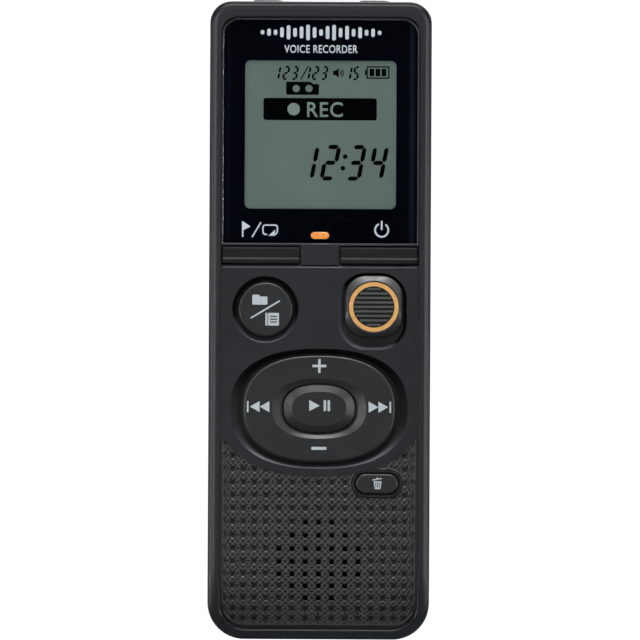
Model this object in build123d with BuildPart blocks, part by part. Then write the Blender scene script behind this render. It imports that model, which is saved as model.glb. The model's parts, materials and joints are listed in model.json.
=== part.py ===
from build123d import *
import os
from math import cos, sin, pi, sqrt, copysign

os.makedirs("parts", exist_ok=True)

# Handheld voice recorder, standing upright.
# +Z runs up its length, the front panel faces -Y, +X is the user's right.
# The origin is under the middle of the case: x = 0 mid-width, y = 0 mid-depth,
# z = 0 the lower end. All lengths are in mm, and places on the front are (x, z).

# ---------------------------------------------------------------- driving dimensions
# case
width = 37.5                # overall width
height = 108.0              # without the jack collars
depth = 16.8                # overall depth
front_y = -depth / 2        # crest of the front rim
back_y = depth / 2          # flat back
top_corner = 3.75           # corner radii seen from the front
bottom_corner = 6.2
rim_fillet = 1.3            # rounding of the front edge
rear_fillet = 2.4           # rounding of the back edge
chin_start = 12.0           # below this height the front curves back
chin_radius = 24.0
part_line = 0.0             # y of the joint between the two shells

# walls
front_wall = 1.6            # inner face of the front wall, behind the rim crest
side_wall = 1.3
end_wall = 1.4
rear_wall = 1.2
inner_y = front_y + front_wall
cavity_back = back_y - rear_wall

# sunken panel and textured field
panel_drop = 0.4            # the panel lies this far behind the rim crest
panel_y = front_y + panel_drop
panel_half = 16.7           # half width of the panel inside the rim
panel_low, panel_high = 1.7, 105.2
texture_drop = 0.65         # floor of the textured field, behind the rim crest
texture_half = 16.4
texture_low, texture_high = 2.4, 40.0
arc_z = 41.36               # smooth island above the textured field
arc_half = (18.0, 13.6)
recess_front = -12.0        # recess tools reach forward to here

# display
window_low = 66.8
window_skin = 0.9
window_corner = 2.85
window_seat = -7.1          # floor of the window pocket
mask_thickness = 0.1
lcd_half = 12.8             # viewing area of the display
lcd_low, lcd_high = 72.9, 98.0
lcd_z = 85.5                # middle of the display module
lcd_strip_z = 72.6          # connector strip below the display
led_at = (0, 68.4)
led_w, led_h = 3.2, 1.3     # slot for the lamp in the window

# keys
fit = 0.28                  # gap round a key
key_low, key_high = 63.68, 66.42            # bar keys
key_inner, key_outer = 3.5, 16.45
key_length = key_outer - key_inner
bar_key_at = [(-10.1, 65.0), (10.1, 65.0)]  # switches of the bar keys
flange_y, flange_thickness = -6.35, 0.37    # flanges that hold the keys in
folder_at, folder_r = (-9.18, 55.85), 4.55  # round key
rec_x, rec_z = 9.16, 56.35                  # record slider
rec_at = (rec_x, rec_z)
rec_travel = 1.5
rec_mid_at = (rec_x, rec_z - rec_travel / 2)
nav_z = 39.1
nav_well = (15.05, 10.15)                   # half sizes of the rocker's well
nav_half = (12.85, 9.0)                     # half sizes of the rocker
dish_half = (8.0, 5.1)
play_half = (6.0, 4.0)
erase_x, erase_z = 9.84, 26.45              # pill key
erase_at = (erase_x, erase_z)
erase_w, erase_h = 7.15, 3.3

# sockets and microphone in the top end
jack_x, jack_y, jack_r = 9.0, -1.4, 1.8
jack_collar, jack_rise, jack_depth = 2.5, 0.3, 13.0
jack_places = [(-jack_x, jack_y), (jack_x, jack_y)]
mic_at = (0, -1.2)                          # (x, y)
top_cut_z, top_cut = height - 3, 4.0        # start and length of cuts in the top end
usb_z = 88.0

# batteries and board
cell_r, cell_len, cell_x, cell_y = 5.25, 44.5, 5.55, 2.1     # AAA cells
bay_half, bay_low, bay_high = 11.3, 23.8, 72.8
bay_at = (0, (bay_low + bay_high) / 2)
bay_length = bay_high - bay_low
tail_y = -2.75                              # solder tails of the terminals
pcb_front, pcb_back = -4.8, -4.0
speaker_z, speaker_r = 13.0, 9.0
speaker_at = (0, speaker_z)

# screws
upper_x, upper_z = 14.6, 101.5
lower_x, lower_z = 14.4, 20.0
upper_screws = [(upper_x, upper_z), (-upper_x, upper_z)]
lower_screws = [(lower_x, lower_z), (-lower_x, lower_z)]
case_screw_at = upper_screws + lower_screws
upper_seat, lower_seat = 6.4, 5.6           # y of the seats of the screw heads
boss_r = 1.9
pcb_screw_at = [(-0.2, 57.0), (0.0, 26.7)]

# battery cover
cover_top, cover_low = 76.0, 0.9
cover_half, rail_half = 15.2, 16.0
cover_thickness = 0.8
cover_inner_y = back_y - cover_thickness
cover_gap = 0.15
cover_mid_z = (cover_top + cover_low) / 2
cover_length = cover_top - cover_low


# ---------------------------------------------------------------- helpers
# Helpers draw in the caller's open builder but open none themselves: a nested sketch
# or line joins its parent only when both are opened in the same function.
def at_y(y):
    """Plane facing the front, at depth y; its local axes are X and Z."""
    return Plane.XZ.offset(-y)


def front_at(z, inset=0.0):
    """Depth of the front surface at height z, moved inwards by inset."""
    if z >= chin_start:
        return front_y + inset
    return front_y + chin_radius - sqrt((chin_radius - inset) ** 2 - (chin_start - z) ** 2)


def draw_side_profile(far_y, inset=0.0, low=0.0, high=height):
    """Outline in the YZ plane between the front surface, moved inwards by inset, and far_y."""
    flat_y = front_at(chin_start, inset)
    middle = (low + chin_start) / 2
    chin_end = (front_at(low, inset), low)
    Polyline(chin_end, (far_y, low), (far_y, high), (flat_y, high), (flat_y, chin_start))
    ThreePointArc((flat_y, chin_start), (front_at(middle, inset), middle), chin_end)


def draw_window_outline(gap=0.0):
    """Square outline of the window, smaller than its pocket by gap on each side."""
    side, low, high = panel_half - gap, window_low + gap, panel_high - gap
    Polyline((-side, low), (side, low), (side, high), (-side, high), close=True)


def round_corners(builder, top, bottom):
    """Round the corners of a slab, seen from the front."""
    fillet(builder.edges().filter_by(Axis.Y).group_by(Axis.Z)[-1], top)
    fillet(builder.edges().filter_by(Axis.Y).group_by(Axis.Z)[0], bottom)


def squircle(half, centre_z=nav_z, grow=0.0, power=2.4, count=32):
    """Points of a superellipse with the given half sizes, centred on x = 0."""
    a, b = half[0] + grow, half[1] + grow
    points = []
    for i in range(count):
        t = 2 * pi * i / count
        points.append((a * copysign(abs(cos(t)) ** (2 / power), cos(t)),
                       centre_z + b * copysign(abs(sin(t)) ** (2 / power), sin(t))))
    return points


def on_front(point):
    return abs(point.Y - front_at(point.Z)) < 0.01


def at_chin_start(point):
    return abs(point.Z - chin_start) < 0.01


def save(name, builder):
    """Label a finished piece and write its file."""
    builder.part.label = name
    export_step(builder.part, f"parts/{name}.step")


# ---------------------------------------------------------------- construction solids
# outside of the whole case
with BuildPart() as envelope:
    with BuildSketch(at_y(back_y)):
        with Locations((0, height / 2)):
            Rectangle(width, height)
    extrude(amount=depth)
    round_corners(envelope, top_corner, bottom_corner)
    with BuildSketch(Plane.YZ):
        with BuildLine():
            draw_side_profile(back_y, low=-1.0, high=height + 1)
        make_face()
    extrude(amount=width, both=True, mode=Mode.INTERSECT)
    # edges round the front, without the line across it where the chin begins
    rim = [edge for edge in envelope.edges()
           if on_front(edge @ 0.5)
           and not (at_chin_start(edge @ 0.5) and abs((edge @ 0.5).X) < 1)]
    fillet(rim, rim_fillet)
    fillet(envelope.edges().group_by(Axis.Y)[-1], rear_fillet)

# inside of the whole case
with BuildPart() as cavity:
    with BuildSketch(at_y(cavity_back)):
        with Locations((0, height / 2)):
            Rectangle(width - 2 * side_wall, height - 2 * end_wall)
    extrude(amount=depth)
    round_corners(cavity, top_corner - side_wall, bottom_corner - side_wall)
    with BuildSketch(Plane.YZ):
        with BuildLine():
            draw_side_profile(back_y, front_wall)
        make_face()
    extrude(amount=width, both=True, mode=Mode.INTERSECT)
    fillet(cavity.edges().group_by(Axis.Y)[-1], rear_fillet - rear_wall)

with BuildPart() as panel_recess:
    with BuildSketch(at_y(0)):
        with Locations((0, (panel_low + panel_high) / 2)):
            Rectangle(2 * panel_half, panel_high - panel_low)
    extrude(amount=-recess_front)
    round_corners(panel_recess, window_corner, 4.4)
    with BuildSketch(Plane.YZ):
        with BuildLine():
            draw_side_profile(recess_front, panel_drop)
        make_face()
    extrude(amount=width, both=True, mode=Mode.INTERSECT)

with BuildPart() as texture_recess:
    with BuildSketch(at_y(0)):
        with Locations((0, (texture_low + texture_high) / 2)):
            Rectangle(2 * texture_half, texture_high - texture_low)
        with BuildLine():
            Spline(*squircle(arc_half, arc_z, count=40), periodic=True)
        make_face(mode=Mode.SUBTRACT)
    extrude(amount=-recess_front)
    fillet(texture_recess.edges().filter_by(Axis.Y).group_by(Axis.Z)[0], 3.8)
    with BuildSketch(Plane.YZ):
        with BuildLine():
            draw_side_profile(recess_front, texture_drop)
        make_face()
    extrude(amount=width, both=True, mode=Mode.INTERSECT)

# wall that locates the speaker, ending in the thickness of the front wall
speaker_wall_inner = speaker_r + 0.2
speaker_wall_outer = speaker_r + 0.9
speaker_wall_back = -3.4

with BuildPart() as speaker_wall:
    with BuildSketch(at_y(speaker_wall_back)):
        with Locations(speaker_at):
            Circle(speaker_wall_outer)
            Circle(speaker_wall_inner, mode=Mode.SUBTRACT)
        # gap for the leads
        with Locations((0, speaker_z + 9.5)):
            Rectangle(6.4, 3.0, mode=Mode.SUBTRACT)
    extrude(amount=speaker_wall_back - front_y)
    with BuildSketch(Plane.YZ):
        with BuildLine():
            draw_side_profile(5, inset=1.3, high=40)
        make_face()
    extrude(amount=width, both=True, mode=Mode.INTERSECT)

# ---------------------------------------------------------------- front shell
opening_y = -6.0            # openings for the keys are cut forward from here
shelf_w, shelf_h, shelf_z = 35.2, 39.0, 86.9
lcd_opening = (29.2, 28.0)
step_low, step_high = 62.95, 63.4
nav_opening = (13.68, 9.4)
mic_hole_pitch, mic_hole_r = 1.5, 0.45
grille_r = 0.4
groove = 0.25               # width of the joint groove, along Y
groove_depth = 0.2

# grille of round holes: distances of the holes from the middle of a row, and the rows
hole_pitch = [0.0, 2.23, 4.47, 6.70]
# (z, number of holes on each side of the middle one)
hole_rows = [(19.86, 1), (17.61, 2), (15.36, 3), (13.17, 3), (11.08, 3), (9.07, 2), (7.05, 1)]
grille_points = [(copysign(hole_pitch[abs(i)], i), row_z)
                 for row_z, reach in hole_rows
                 for i in range(-reach, reach + 1)]

with BuildPart() as front_case:
    add(envelope.part)
    split(bisect_by=at_y(part_line), keep=Keep.TOP)
    add(cavity.part, mode=Mode.SUBTRACT)
    # shelf behind the window, thicker than the rest of the wall
    with BuildSketch(at_y(inner_y + 0.5)):
        with Locations((0, shelf_z)):
            Rectangle(shelf_w, shelf_h)
    extrude(amount=0.7)
    add(speaker_wall.part)
    # bosses for the case screws and for the board screws
    with BuildSketch(at_y(-0.05)):
        with Locations(*case_screw_at):
            Circle(boss_r)
    extrude(amount=7.0)
    with BuildSketch(at_y(pcb_front)):
        with Locations(*pcb_screw_at):
            Circle(1.5)
    extrude(amount=2.2)
    with BuildSketch(at_y(0)):
        with Locations(*case_screw_at):
            Circle(0.82)
    extrude(amount=5.0, mode=Mode.SUBTRACT)
    with BuildSketch(at_y(pcb_front)):
        with Locations(*pcb_screw_at):
            Circle(0.62)
    extrude(amount=2.0, mode=Mode.SUBTRACT)
    # sunken panel inside the raised rim, and the deeper textured field
    add(panel_recess.part, mode=Mode.SUBTRACT)
    crest = [edge for edge in front_case.edges()
             if on_front(edge @ 0.5)
             and abs((edge @ 0.5).X) < panel_half + 0.01
             and panel_low - 0.01 < (edge @ 0.5).Z < panel_high + 0.01
             and not at_chin_start(edge @ 0.5)]
    chamfer(crest, 0.28)
    add(texture_recess.part, mode=Mode.SUBTRACT)
    # window pocket
    with BuildSketch(at_y(window_seat)):
        with BuildLine():
            draw_window_outline()
        make_face()
        fillet(vertices().group_by(Axis.Y)[-1], window_corner)
    extrude(amount=3, mode=Mode.SUBTRACT)
    # opening for the display, and for the lamp
    with BuildSketch(at_y(-5)):
        with Locations((0, lcd_z)):
            Rectangle(*lcd_opening)
        with Locations(led_at):
            SlotOverall(led_w + 0.2, led_h + 0.2)
    extrude(amount=4, mode=Mode.SUBTRACT)
    # bar keys
    with BuildSketch(at_y(opening_y)):
        for side in (-1, 1):
            with Locations((side * (key_inner + key_outer) / 2, (key_low + key_high) / 2)):
                Rectangle(key_length + 2 * 0.25, key_high - key_low + 2 * fit)
    extrude(amount=4, mode=Mode.SUBTRACT)
    # sloping step along the lower side of the bar keys
    with BuildSketch(Plane.YZ):
        with BuildLine():
            Polyline((panel_y - 0.6, step_low), (panel_y, step_low),
                     (panel_y + 0.4, step_high), (panel_y - 0.6, step_high), close=True)
        make_face()
    extrude(amount=panel_half, both=True, mode=Mode.SUBTRACT)
    # round key: sloping ring and hole
    with BuildSketch(at_y(panel_y)):
        with Locations(folder_at):
            Circle(5.64)
    with BuildSketch(at_y(panel_y + 0.7)):
        with Locations(folder_at):
            Circle(4.93)
    loft(mode=Mode.SUBTRACT)
    with BuildSketch(at_y(opening_y)):
        with Locations(folder_at):
            Circle(folder_r + fit)
    extrude(amount=3, mode=Mode.SUBTRACT)
    # record slider: well with rounded ends and the slot for its stem
    with BuildSketch(at_y(panel_y)):
        with Locations((9.0, 55.6)):
            RectangleRounded(11.5, 13.0, 4.5)
    with BuildSketch(at_y(panel_y + 0.8)):
        with Locations((9.13, 55.75)):
            RectangleRounded(10.15, 11.95, 3.9)
    loft(mode=Mode.SUBTRACT)
    with BuildSketch(at_y(opening_y)):
        with Locations(rec_mid_at):
            Rectangle(3.4, 2.4 + rec_travel + 0.4)
    extrude(amount=2, mode=Mode.SUBTRACT)
    # rocker well and opening
    with BuildSketch(at_y(panel_y - 0.01)):
        with BuildLine():
            Spline(*squircle(nav_well), periodic=True)
        make_face()
    with BuildSketch(at_y(panel_y + 0.8)):
        with BuildLine():
            Spline(*squircle(nav_opening, grow=0.02), periodic=True)
        make_face()
    loft(mode=Mode.SUBTRACT)
    with BuildSketch(at_y(opening_y)):
        with BuildLine():
            Spline(*squircle(nav_opening), periodic=True)
        make_face()
    extrude(amount=3, mode=Mode.SUBTRACT)
    # pill key: raised collar in the texture and its hole
    with BuildSketch(at_y(front_y + texture_drop + 0.1)):
        with Locations(erase_at):
            SlotOverall(erase_w + 1.5, erase_h + 1.5)
    extrude(amount=0.3, taper=20)
    with BuildSketch(at_y(opening_y)):
        with Locations(erase_at):
            SlotOverall(erase_w + 2 * fit, erase_h + 2 * fit)
    extrude(amount=3, mode=Mode.SUBTRACT)
    # speaker grille
    with BuildSketch(at_y(-4)):
        with Locations(*grille_points):
            Circle(grille_r)
    extrude(amount=5, mode=Mode.SUBTRACT)
    # sockets and microphone holes in the top end
    with BuildSketch(Plane.XY.offset(top_cut_z)):
        with Locations(*jack_places):
            Circle(jack_collar + 0.1)
        with Locations(*[(i * mic_hole_pitch, mic_at[1]) for i in (-1, 0, 1)]):
            Circle(mic_hole_r)
    extrude(amount=top_cut, mode=Mode.SUBTRACT)
    # data socket opening in the left side
    with BuildSketch(Plane.YZ.offset(-width / 2 + 3)):
        with Locations((-2.55, usb_z)):
            RectangleRounded(2.9, 7.8, 0.9)
    extrude(amount=-4, mode=Mode.SUBTRACT)
    # fine groove along the joint of the shells
    with BuildSketch(at_y(part_line)):
        with Locations((0, height / 2)):
            Rectangle(width + 1, height + 1)
            RectangleRounded(width - 2 * groove_depth, height - 2 * groove_depth, 3.8,
                             mode=Mode.SUBTRACT)
    extrude(amount=groove, mode=Mode.SUBTRACT)
save("front_case", front_case)

# ---------------------------------------------------------------- rear shell
deck_w, deck_h, deck_z = 35.0, 76.4, 39.4
upper_boss_back, lower_boss_back = 7.6, 6.0
boss_front = 0.05
outside_y = 9.0             # cuts from the back start here, outside the case
rail_back, rail_front = 7.75, 6.65
seat_low, seat_high = -1.0, cover_top + cover_gap    # the seat is open at the lower end
seat_at = (0, (seat_low + seat_high) / 2)
head_hole_r = 1.6

with BuildPart() as rear_case:
    add(envelope.part)
    split(bisect_by=at_y(part_line), keep=Keep.BOTTOM)
    add(cavity.part, mode=Mode.SUBTRACT)
    # deck under the battery cover
    with BuildSketch(at_y(cavity_back + 0.1)):
        with Locations((0, deck_z)):
            Rectangle(deck_w, deck_h)
    extrude(amount=1.8)
    # screw bosses
    with BuildSketch(at_y(upper_boss_back)):
        with Locations(*upper_screws):
            Circle(2.3)
    extrude(amount=upper_boss_back - boss_front)
    with BuildSketch(at_y(lower_boss_back)):
        with Locations(*lower_screws):
            Circle(boss_r)
    extrude(amount=lower_boss_back - boss_front)
    # keep the bosses and the deck inside the shell
    add(envelope.part, mode=Mode.INTERSECT)
    # rails and seat of the cover
    with BuildSketch(at_y(rail_back)):
        with Locations(seat_at):
            Rectangle(2 * (rail_half + cover_gap), seat_high - seat_low)
    extrude(amount=rail_back - rail_front, mode=Mode.SUBTRACT)
    with BuildSketch(at_y(outside_y)):
        with Locations(seat_at):
            Rectangle(2 * (cover_half + cover_gap), seat_high - seat_low)
    extrude(amount=1.55, mode=Mode.SUBTRACT)
    # battery opening in the deck
    with BuildSketch(at_y(7.0)):
        with Locations(bay_at):
            Rectangle(2 * bay_half, bay_length)
    extrude(amount=2.5, mode=Mode.SUBTRACT)
    # screw holes, then the wider holes for the heads
    with BuildSketch(at_y(outside_y)):
        with Locations(*case_screw_at):
            Circle(0.95)
    extrude(amount=10, mode=Mode.SUBTRACT)
    with BuildSketch(at_y(outside_y)):
        with Locations(*upper_screws):
            Circle(head_hole_r)
    extrude(amount=outside_y - upper_seat, mode=Mode.SUBTRACT)
    with BuildSketch(at_y(7.0)):
        with Locations(*lower_screws):
            Circle(head_hole_r)
    extrude(amount=7.0 - lower_seat, mode=Mode.SUBTRACT)
    # part holes for the jack collars
    with BuildSketch(Plane.XY.offset(top_cut_z)):
        with Locations(*jack_places):
            Circle(jack_collar + 0.1)
    extrude(amount=top_cut, mode=Mode.SUBTRACT)
save("rear_case", rear_case)

# ---------------------------------------------------------------- battery cover
rail_inner = 14.4
rib_heights = (14.0, 74.6)
rib_thickness, rib_depth = 0.8, 0.6
middle_rib_length = 5.8
side_rib_inner, side_rib_outer = 8.4, 14.45
grip_count, grip_low, grip_pitch = 6, 62.0, 1.5

with BuildPart() as battery_cover:
    with BuildSketch(at_y(back_y)):
        with Locations((0, cover_mid_z)):
            Rectangle(2 * cover_half, cover_length)
    extrude(amount=cover_thickness)
    # rails along both sides
    with BuildSketch(at_y(cover_inner_y)):
        for side in (-1, 1):
            with Locations((side * (rail_half + rail_inner) / 2, cover_mid_z)):
                Rectangle(rail_half - rail_inner, cover_length)
    extrude(amount=0.8)
    # ribs across the inside, below and above the cells, with gaps in line with the cells
    with BuildSketch(at_y(cover_inner_y)):
        with Locations(*[(0, z) for z in rib_heights]):
            Rectangle(middle_rib_length, rib_thickness)
        for side in (-1, 1):
            rib_x = side * (side_rib_inner + side_rib_outer) / 2
            with Locations(*[(rib_x, z) for z in rib_heights]):
                Rectangle(side_rib_outer - side_rib_inner, rib_thickness)
    extrude(amount=rib_depth)
    add(envelope.part, mode=Mode.INTERSECT)
    # thumb grip: shallow grooves, and an arrow that points down, the way the cover slides
    with BuildSketch(at_y(back_y + 1)):
        for i in range(grip_count):
            with Locations((0, grip_low + grip_pitch * i)):
                SlotOverall(12.0 - 1.2 * abs(i - (grip_count - 1) / 2), 0.7)
        with BuildLine():
            Polyline((-2.4, 58.6), (2.4, 58.6), (0, 56.0), close=True)
        make_face()
    extrude(amount=1.3, mode=Mode.SUBTRACT)
save("battery_cover", battery_cover)

with BuildPart() as cover_foam_pad:
    with BuildSketch(at_y(cover_inner_y - 0.02)):
        with Locations((0, 48)):
            RectangleRounded(4.4, 18.0, 0.6)
    extrude(amount=0.6)
save("cover_foam_pad", cover_foam_pad)

# ---------------------------------------------------------------- display
window_gap, mask_gap = 0.06, 0.1    # to the sides of the pocket
glass_w = 28.6
glass_back, glass_joint = -5.9, -6.45
glass_thickness = 0.55              # of each of the two glasses
reflector_z = 86.5
holder_back = -4.85

with BuildPart() as display_window:
    with BuildSketch(at_y(window_seat - mask_thickness)):
        with BuildLine():
            draw_window_outline(window_gap)
        make_face()
        fillet(vertices().group_by(Axis.Y)[-1], 2.8)
    extrude(amount=window_skin)
    fillet(display_window.faces().sort_by(Axis.Y)[0].edges(), 0.3)
    with BuildSketch(at_y(-7)):
        with Locations(led_at):
            SlotOverall(led_w, led_h)
    extrude(amount=2, mode=Mode.SUBTRACT)
save("display_window", display_window)

with BuildPart() as window_mask:
    with BuildSketch(at_y(window_seat)):
        with BuildLine():
            draw_window_outline(mask_gap)
        make_face()
        fillet(vertices().group_by(Axis.Y)[-1], window_corner - mask_gap)
        with Locations((0, (lcd_low + lcd_high) / 2)):
            RectangleRounded(2 * lcd_half, lcd_high - lcd_low, 0.95, mode=Mode.SUBTRACT)
        with Locations(led_at):
            SlotOverall(led_w + 0.1, led_h + 0.1, mode=Mode.SUBTRACT)
    extrude(amount=mask_thickness)
save("window_mask", window_mask)

# two glasses, the rear one shorter at its lower end
with BuildPart() as lcd_panel:
    with BuildSketch(at_y(glass_joint)):
        with Locations((0, lcd_z)):
            Rectangle(glass_w, 27.4)
    extrude(amount=glass_thickness)
    with BuildSketch(at_y(glass_back)):
        with Locations((0, 86.4)):
            Rectangle(glass_w, 25.6)
    extrude(amount=glass_thickness)
save("lcd_panel", lcd_panel)

with BuildPart() as lcd_reflector:
    with BuildSketch(at_y(-5.65)):
        with Locations((0, reflector_z)):
            Rectangle(28.0, 25.0)
    extrude(amount=0.2)
save("lcd_reflector", lcd_reflector)

with BuildPart() as lcd_holder:
    with BuildSketch(at_y(holder_back)):
        with Locations((0, lcd_z)):
            Rectangle(31.6, 29.6)
    extrude(amount=1.35)
    # tray for the display
    with BuildSketch(at_y(-5.6)):
        with Locations((0, lcd_z)):
            Rectangle(28.8, 27.6)
    extrude(amount=1, mode=Mode.SUBTRACT)
    # openings in the floor, and notches round the upper case screws
    with BuildSketch(at_y(-4.5)):
        with Locations((0, reflector_z)):
            Rectangle(23.0, 19.0)
        with Locations((0, lcd_strip_z)):
            Rectangle(25.0, 1.4)
        with Locations(*upper_screws):
            Circle(2.15)
    extrude(amount=2, mode=Mode.SUBTRACT)
save("lcd_holder", lcd_holder)

with BuildPart() as lcd_connector_strip:
    with BuildSketch(at_y(pcb_front)):
        with Locations((0, lcd_strip_z)):
            Rectangle(24.6, 0.9)
    extrude(amount=1.6)
save("lcd_connector_strip", lcd_connector_strip)

with BuildPart() as led_lens:
    with BuildSketch(at_y(-5.6)):
        with Locations(led_at):
            SlotOverall(3.06, 1.17)
    extrude(amount=2.5)
    fillet(led_lens.faces().sort_by(Axis.Y)[0].edges(), 0.2)
save("led_lens", led_lens)

led_base = 0.3

with BuildPart() as led_chip:
    with BuildSketch(at_y(pcb_front)):
        with Locations(led_at):
            Rectangle(1.8, 1.0)
    extrude(amount=led_base)
    with BuildSketch(at_y(pcb_front - led_base)):
        with Locations(led_at):
            Circle(0.45)
    extrude(amount=0.25)
save("led_chip", led_chip)

# ---------------------------------------------------------------- bar keys
# Section of a bar key, as (y, z): bevelled upper edge, nearly flat face, and a raised lip
# along the lower edge.
bar_key_section = [
    (-6.7, key_high), (-7.85, key_high), (-8.12, key_high - 0.25),
    (-8.04, 64.75), (-8.06, 64.6), (-8.26, 64.35),
    (-8.22, key_low + 0.15), (-8.1, key_low), (-6.7, key_low),
]

# (name, x of the left end, x of the middle of the flange)
for name, left_x, flange_x in (("index_key", -key_outer, -10.05),
                               ("power_key", key_inner, 10.05)):
    with BuildPart() as bar_key:
        with BuildSketch(Plane.YZ.offset(left_x)):
            with BuildLine():
                Polyline(*bar_key_section, close=True)
            make_face()
        extrude(amount=key_length)
        with BuildSketch(at_y(flange_y)):
            with Locations((flange_x, 65.0)):
                Rectangle(13.8, 4.2)
        extrude(amount=flange_thickness)
    save(name, bar_key)

# ---------------------------------------------------------------- round key
with BuildPart() as folder_button:
    with BuildSketch(at_y(flange_y)):
        with Locations(folder_at):
            Circle(5.2)
    extrude(amount=flange_thickness)
    with BuildSketch(at_y(-6.6)):
        with Locations(folder_at):
            Circle(folder_r)
    extrude(amount=1.65)
    fillet(folder_button.faces().sort_by(Axis.Y)[0].edges(), 0.3)
save("folder_button", folder_button)

# ---------------------------------------------------------------- record slider
rec_outline = (9.65, 10.2, 3.5)     # width, height and corner radius of the knob
rec_outline_at = (rec_x, rec_z + 0.1)
knob_back, knob_shoulder, knob_front = -7.35, -7.8, -8.4
rec_floor = -8.0                    # floor of the round recess in the knob
pad_r = 3.46
pad_rib_pitch, pad_rib_w = 0.76, 0.38

with BuildPart() as rec_knob:
    with BuildSketch(at_y(knob_back)):
        with Locations(rec_outline_at):
            RectangleRounded(*rec_outline)
    extrude(amount=knob_back - knob_shoulder)
    # the crown rises from the rounded square to the ring
    with BuildSketch(at_y(knob_shoulder)):
        with Locations(rec_outline_at):
            RectangleRounded(*rec_outline)
    with BuildSketch(at_y(knob_front)):
        with Locations(rec_at):
            RectangleRounded(8.9, 8.9, 4.4)
    loft()
    with BuildSketch(at_y(rec_floor)):
        with Locations(rec_at):
            Circle(4.24)
    extrude(amount=1, mode=Mode.SUBTRACT)
    # stem through the slot of the panel
    with BuildSketch(at_y(-6.7)):
        with Locations(rec_at):
            Rectangle(3.0, 2.4)
    extrude(amount=0.9)
save("rec_knob", rec_knob)

with BuildPart() as rec_ring:
    with BuildSketch(at_y(rec_floor)):
        with Locations(rec_at):
            Circle(4.2)
            Circle(3.5, mode=Mode.SUBTRACT)
    extrude(amount=0.38)
save("rec_ring", rec_ring)

# disc with ribs across it, each as long as the disc is wide at that height
with BuildPart() as rec_grip_pad:
    with BuildSketch(at_y(rec_floor)):
        with Locations(rec_at):
            Circle(pad_r)
    extrude(amount=0.15)
    with BuildSketch(at_y(-8.1)):
        for i in range(-4, 5):
            rib_edge = pad_rib_pitch * abs(i) + 0.2
            with Locations((rec_x, rec_z + pad_rib_pitch * i)):
                Rectangle(2 * sqrt(pad_r ** 2 - rib_edge ** 2) - 0.1, pad_rib_w)
    extrude(amount=0.3)
save("rec_grip_pad", rec_grip_pad)

lever_w, lever_h = 1.6, 1.2

with BuildPart() as rec_switch_lever:
    with BuildSketch(at_y(-5.35)):
        with Locations(rec_at):
            Rectangle(lever_w, lever_h)
    extrude(amount=1.0)
    with BuildSketch(at_y(-6.3)):
        with Locations(rec_at):
            Rectangle(5.0, 2.8)
    extrude(amount=0.4)
save("rec_switch_lever", rec_switch_lever)

# ---------------------------------------------------------------- rocker and centre key
nav_body_back = -7.2
nav_skirt_back = -6.0
play_shoulder, play_front = -7.75, -8.3

with BuildPart() as nav_ring:
    with BuildSketch(at_y(nav_body_back)):
        with BuildLine():
            Spline(*squircle(nav_half), periodic=True)
        make_face()
    extrude(amount=1.0)
    fillet(nav_ring.faces().sort_by(Axis.Y)[0].edges(), 0.35)
    # skirt behind the face, and its flange
    with BuildSketch(at_y(nav_skirt_back)):
        with BuildLine():
            Spline(*squircle(nav_half, grow=-0.02), periodic=True)
        make_face()
    extrude(amount=1.25)
    with BuildSketch(at_y(nav_skirt_back)):
        with BuildLine():
            Spline(*squircle((14.2, 9.95)), periodic=True)
        make_face()
    extrude(amount=0.4)
    # hollow of the back
    with BuildSketch(at_y(-5.5)):
        with BuildLine():
            Spline(*squircle(nav_half, grow=-1.2), periodic=True)
        make_face()
    extrude(amount=1.7, mode=Mode.SUBTRACT)
    # dish round the centre key
    with BuildSketch(at_y(-8.21)):
        with BuildLine():
            Spline(*squircle(dish_half), periodic=True)
        make_face()
    with BuildSketch(at_y(-7.85)):
        with BuildLine():
            Spline(*squircle((6.6, 4.5)), periodic=True)
        make_face()
    loft(mode=Mode.SUBTRACT)
    # hole for the centre key
    with BuildSketch(at_y(-7.0)):
        with BuildLine():
            Spline(*squircle(play_half, grow=0.33), periodic=True)
        make_face()
    extrude(amount=2, mode=Mode.SUBTRACT)
save("nav_ring", nav_ring)

with BuildPart() as nav_pad:
    with BuildSketch(at_y(-5.3)):
        with BuildLine():
            Spline(*squircle((11.4, 7.6)), periodic=True)
        make_face()
        with BuildLine():
            Spline(*squircle((6.9, 4.6)), periodic=True)
        make_face(mode=Mode.SUBTRACT)
    extrude(amount=0.45)
save("nav_pad", nav_pad)

with BuildPart() as play_button:
    # flange
    with BuildSketch(at_y(-6.5)):
        with BuildLine():
            Spline(*squircle(play_half, grow=1.0), periodic=True)
        make_face()
    extrude(amount=0.4)
    with BuildSketch(at_y(-6.8)):
        with BuildLine():
            Spline(*squircle(play_half), periodic=True)
        make_face()
    extrude(amount=-6.8 - play_shoulder)
    # the face rises in a bevel to a smaller flat
    with BuildSketch(at_y(play_shoulder)):
        with BuildLine():
            Spline(*squircle(play_half), periodic=True)
        make_face()
    with BuildSketch(at_y(play_front)):
        with BuildLine():
            Spline(*squircle((4.6, 2.85)), periodic=True)
        make_face()
    loft()
    # stud on the back, towards the switch
    with BuildSketch(at_y(-5.35)):
        with Locations((0, nav_z)):
            Circle(1.2)
    extrude(amount=1.3)
save("play_button", play_button)

# ---------------------------------------------------------------- pill key
with BuildPart() as erase_button:
    with BuildSketch(at_y(flange_y)):
        with Locations(erase_at):
            SlotOverall(erase_w + 1.2, erase_h + 1.2)
    extrude(amount=flange_thickness)
    with BuildSketch(at_y(-6.6)):
        with Locations(erase_at):
            SlotOverall(erase_w, erase_h)
    extrude(amount=1.6)
    fillet(erase_button.faces().sort_by(Axis.Y)[0].edges(), 0.3)
save("erase_button", erase_button)

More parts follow.
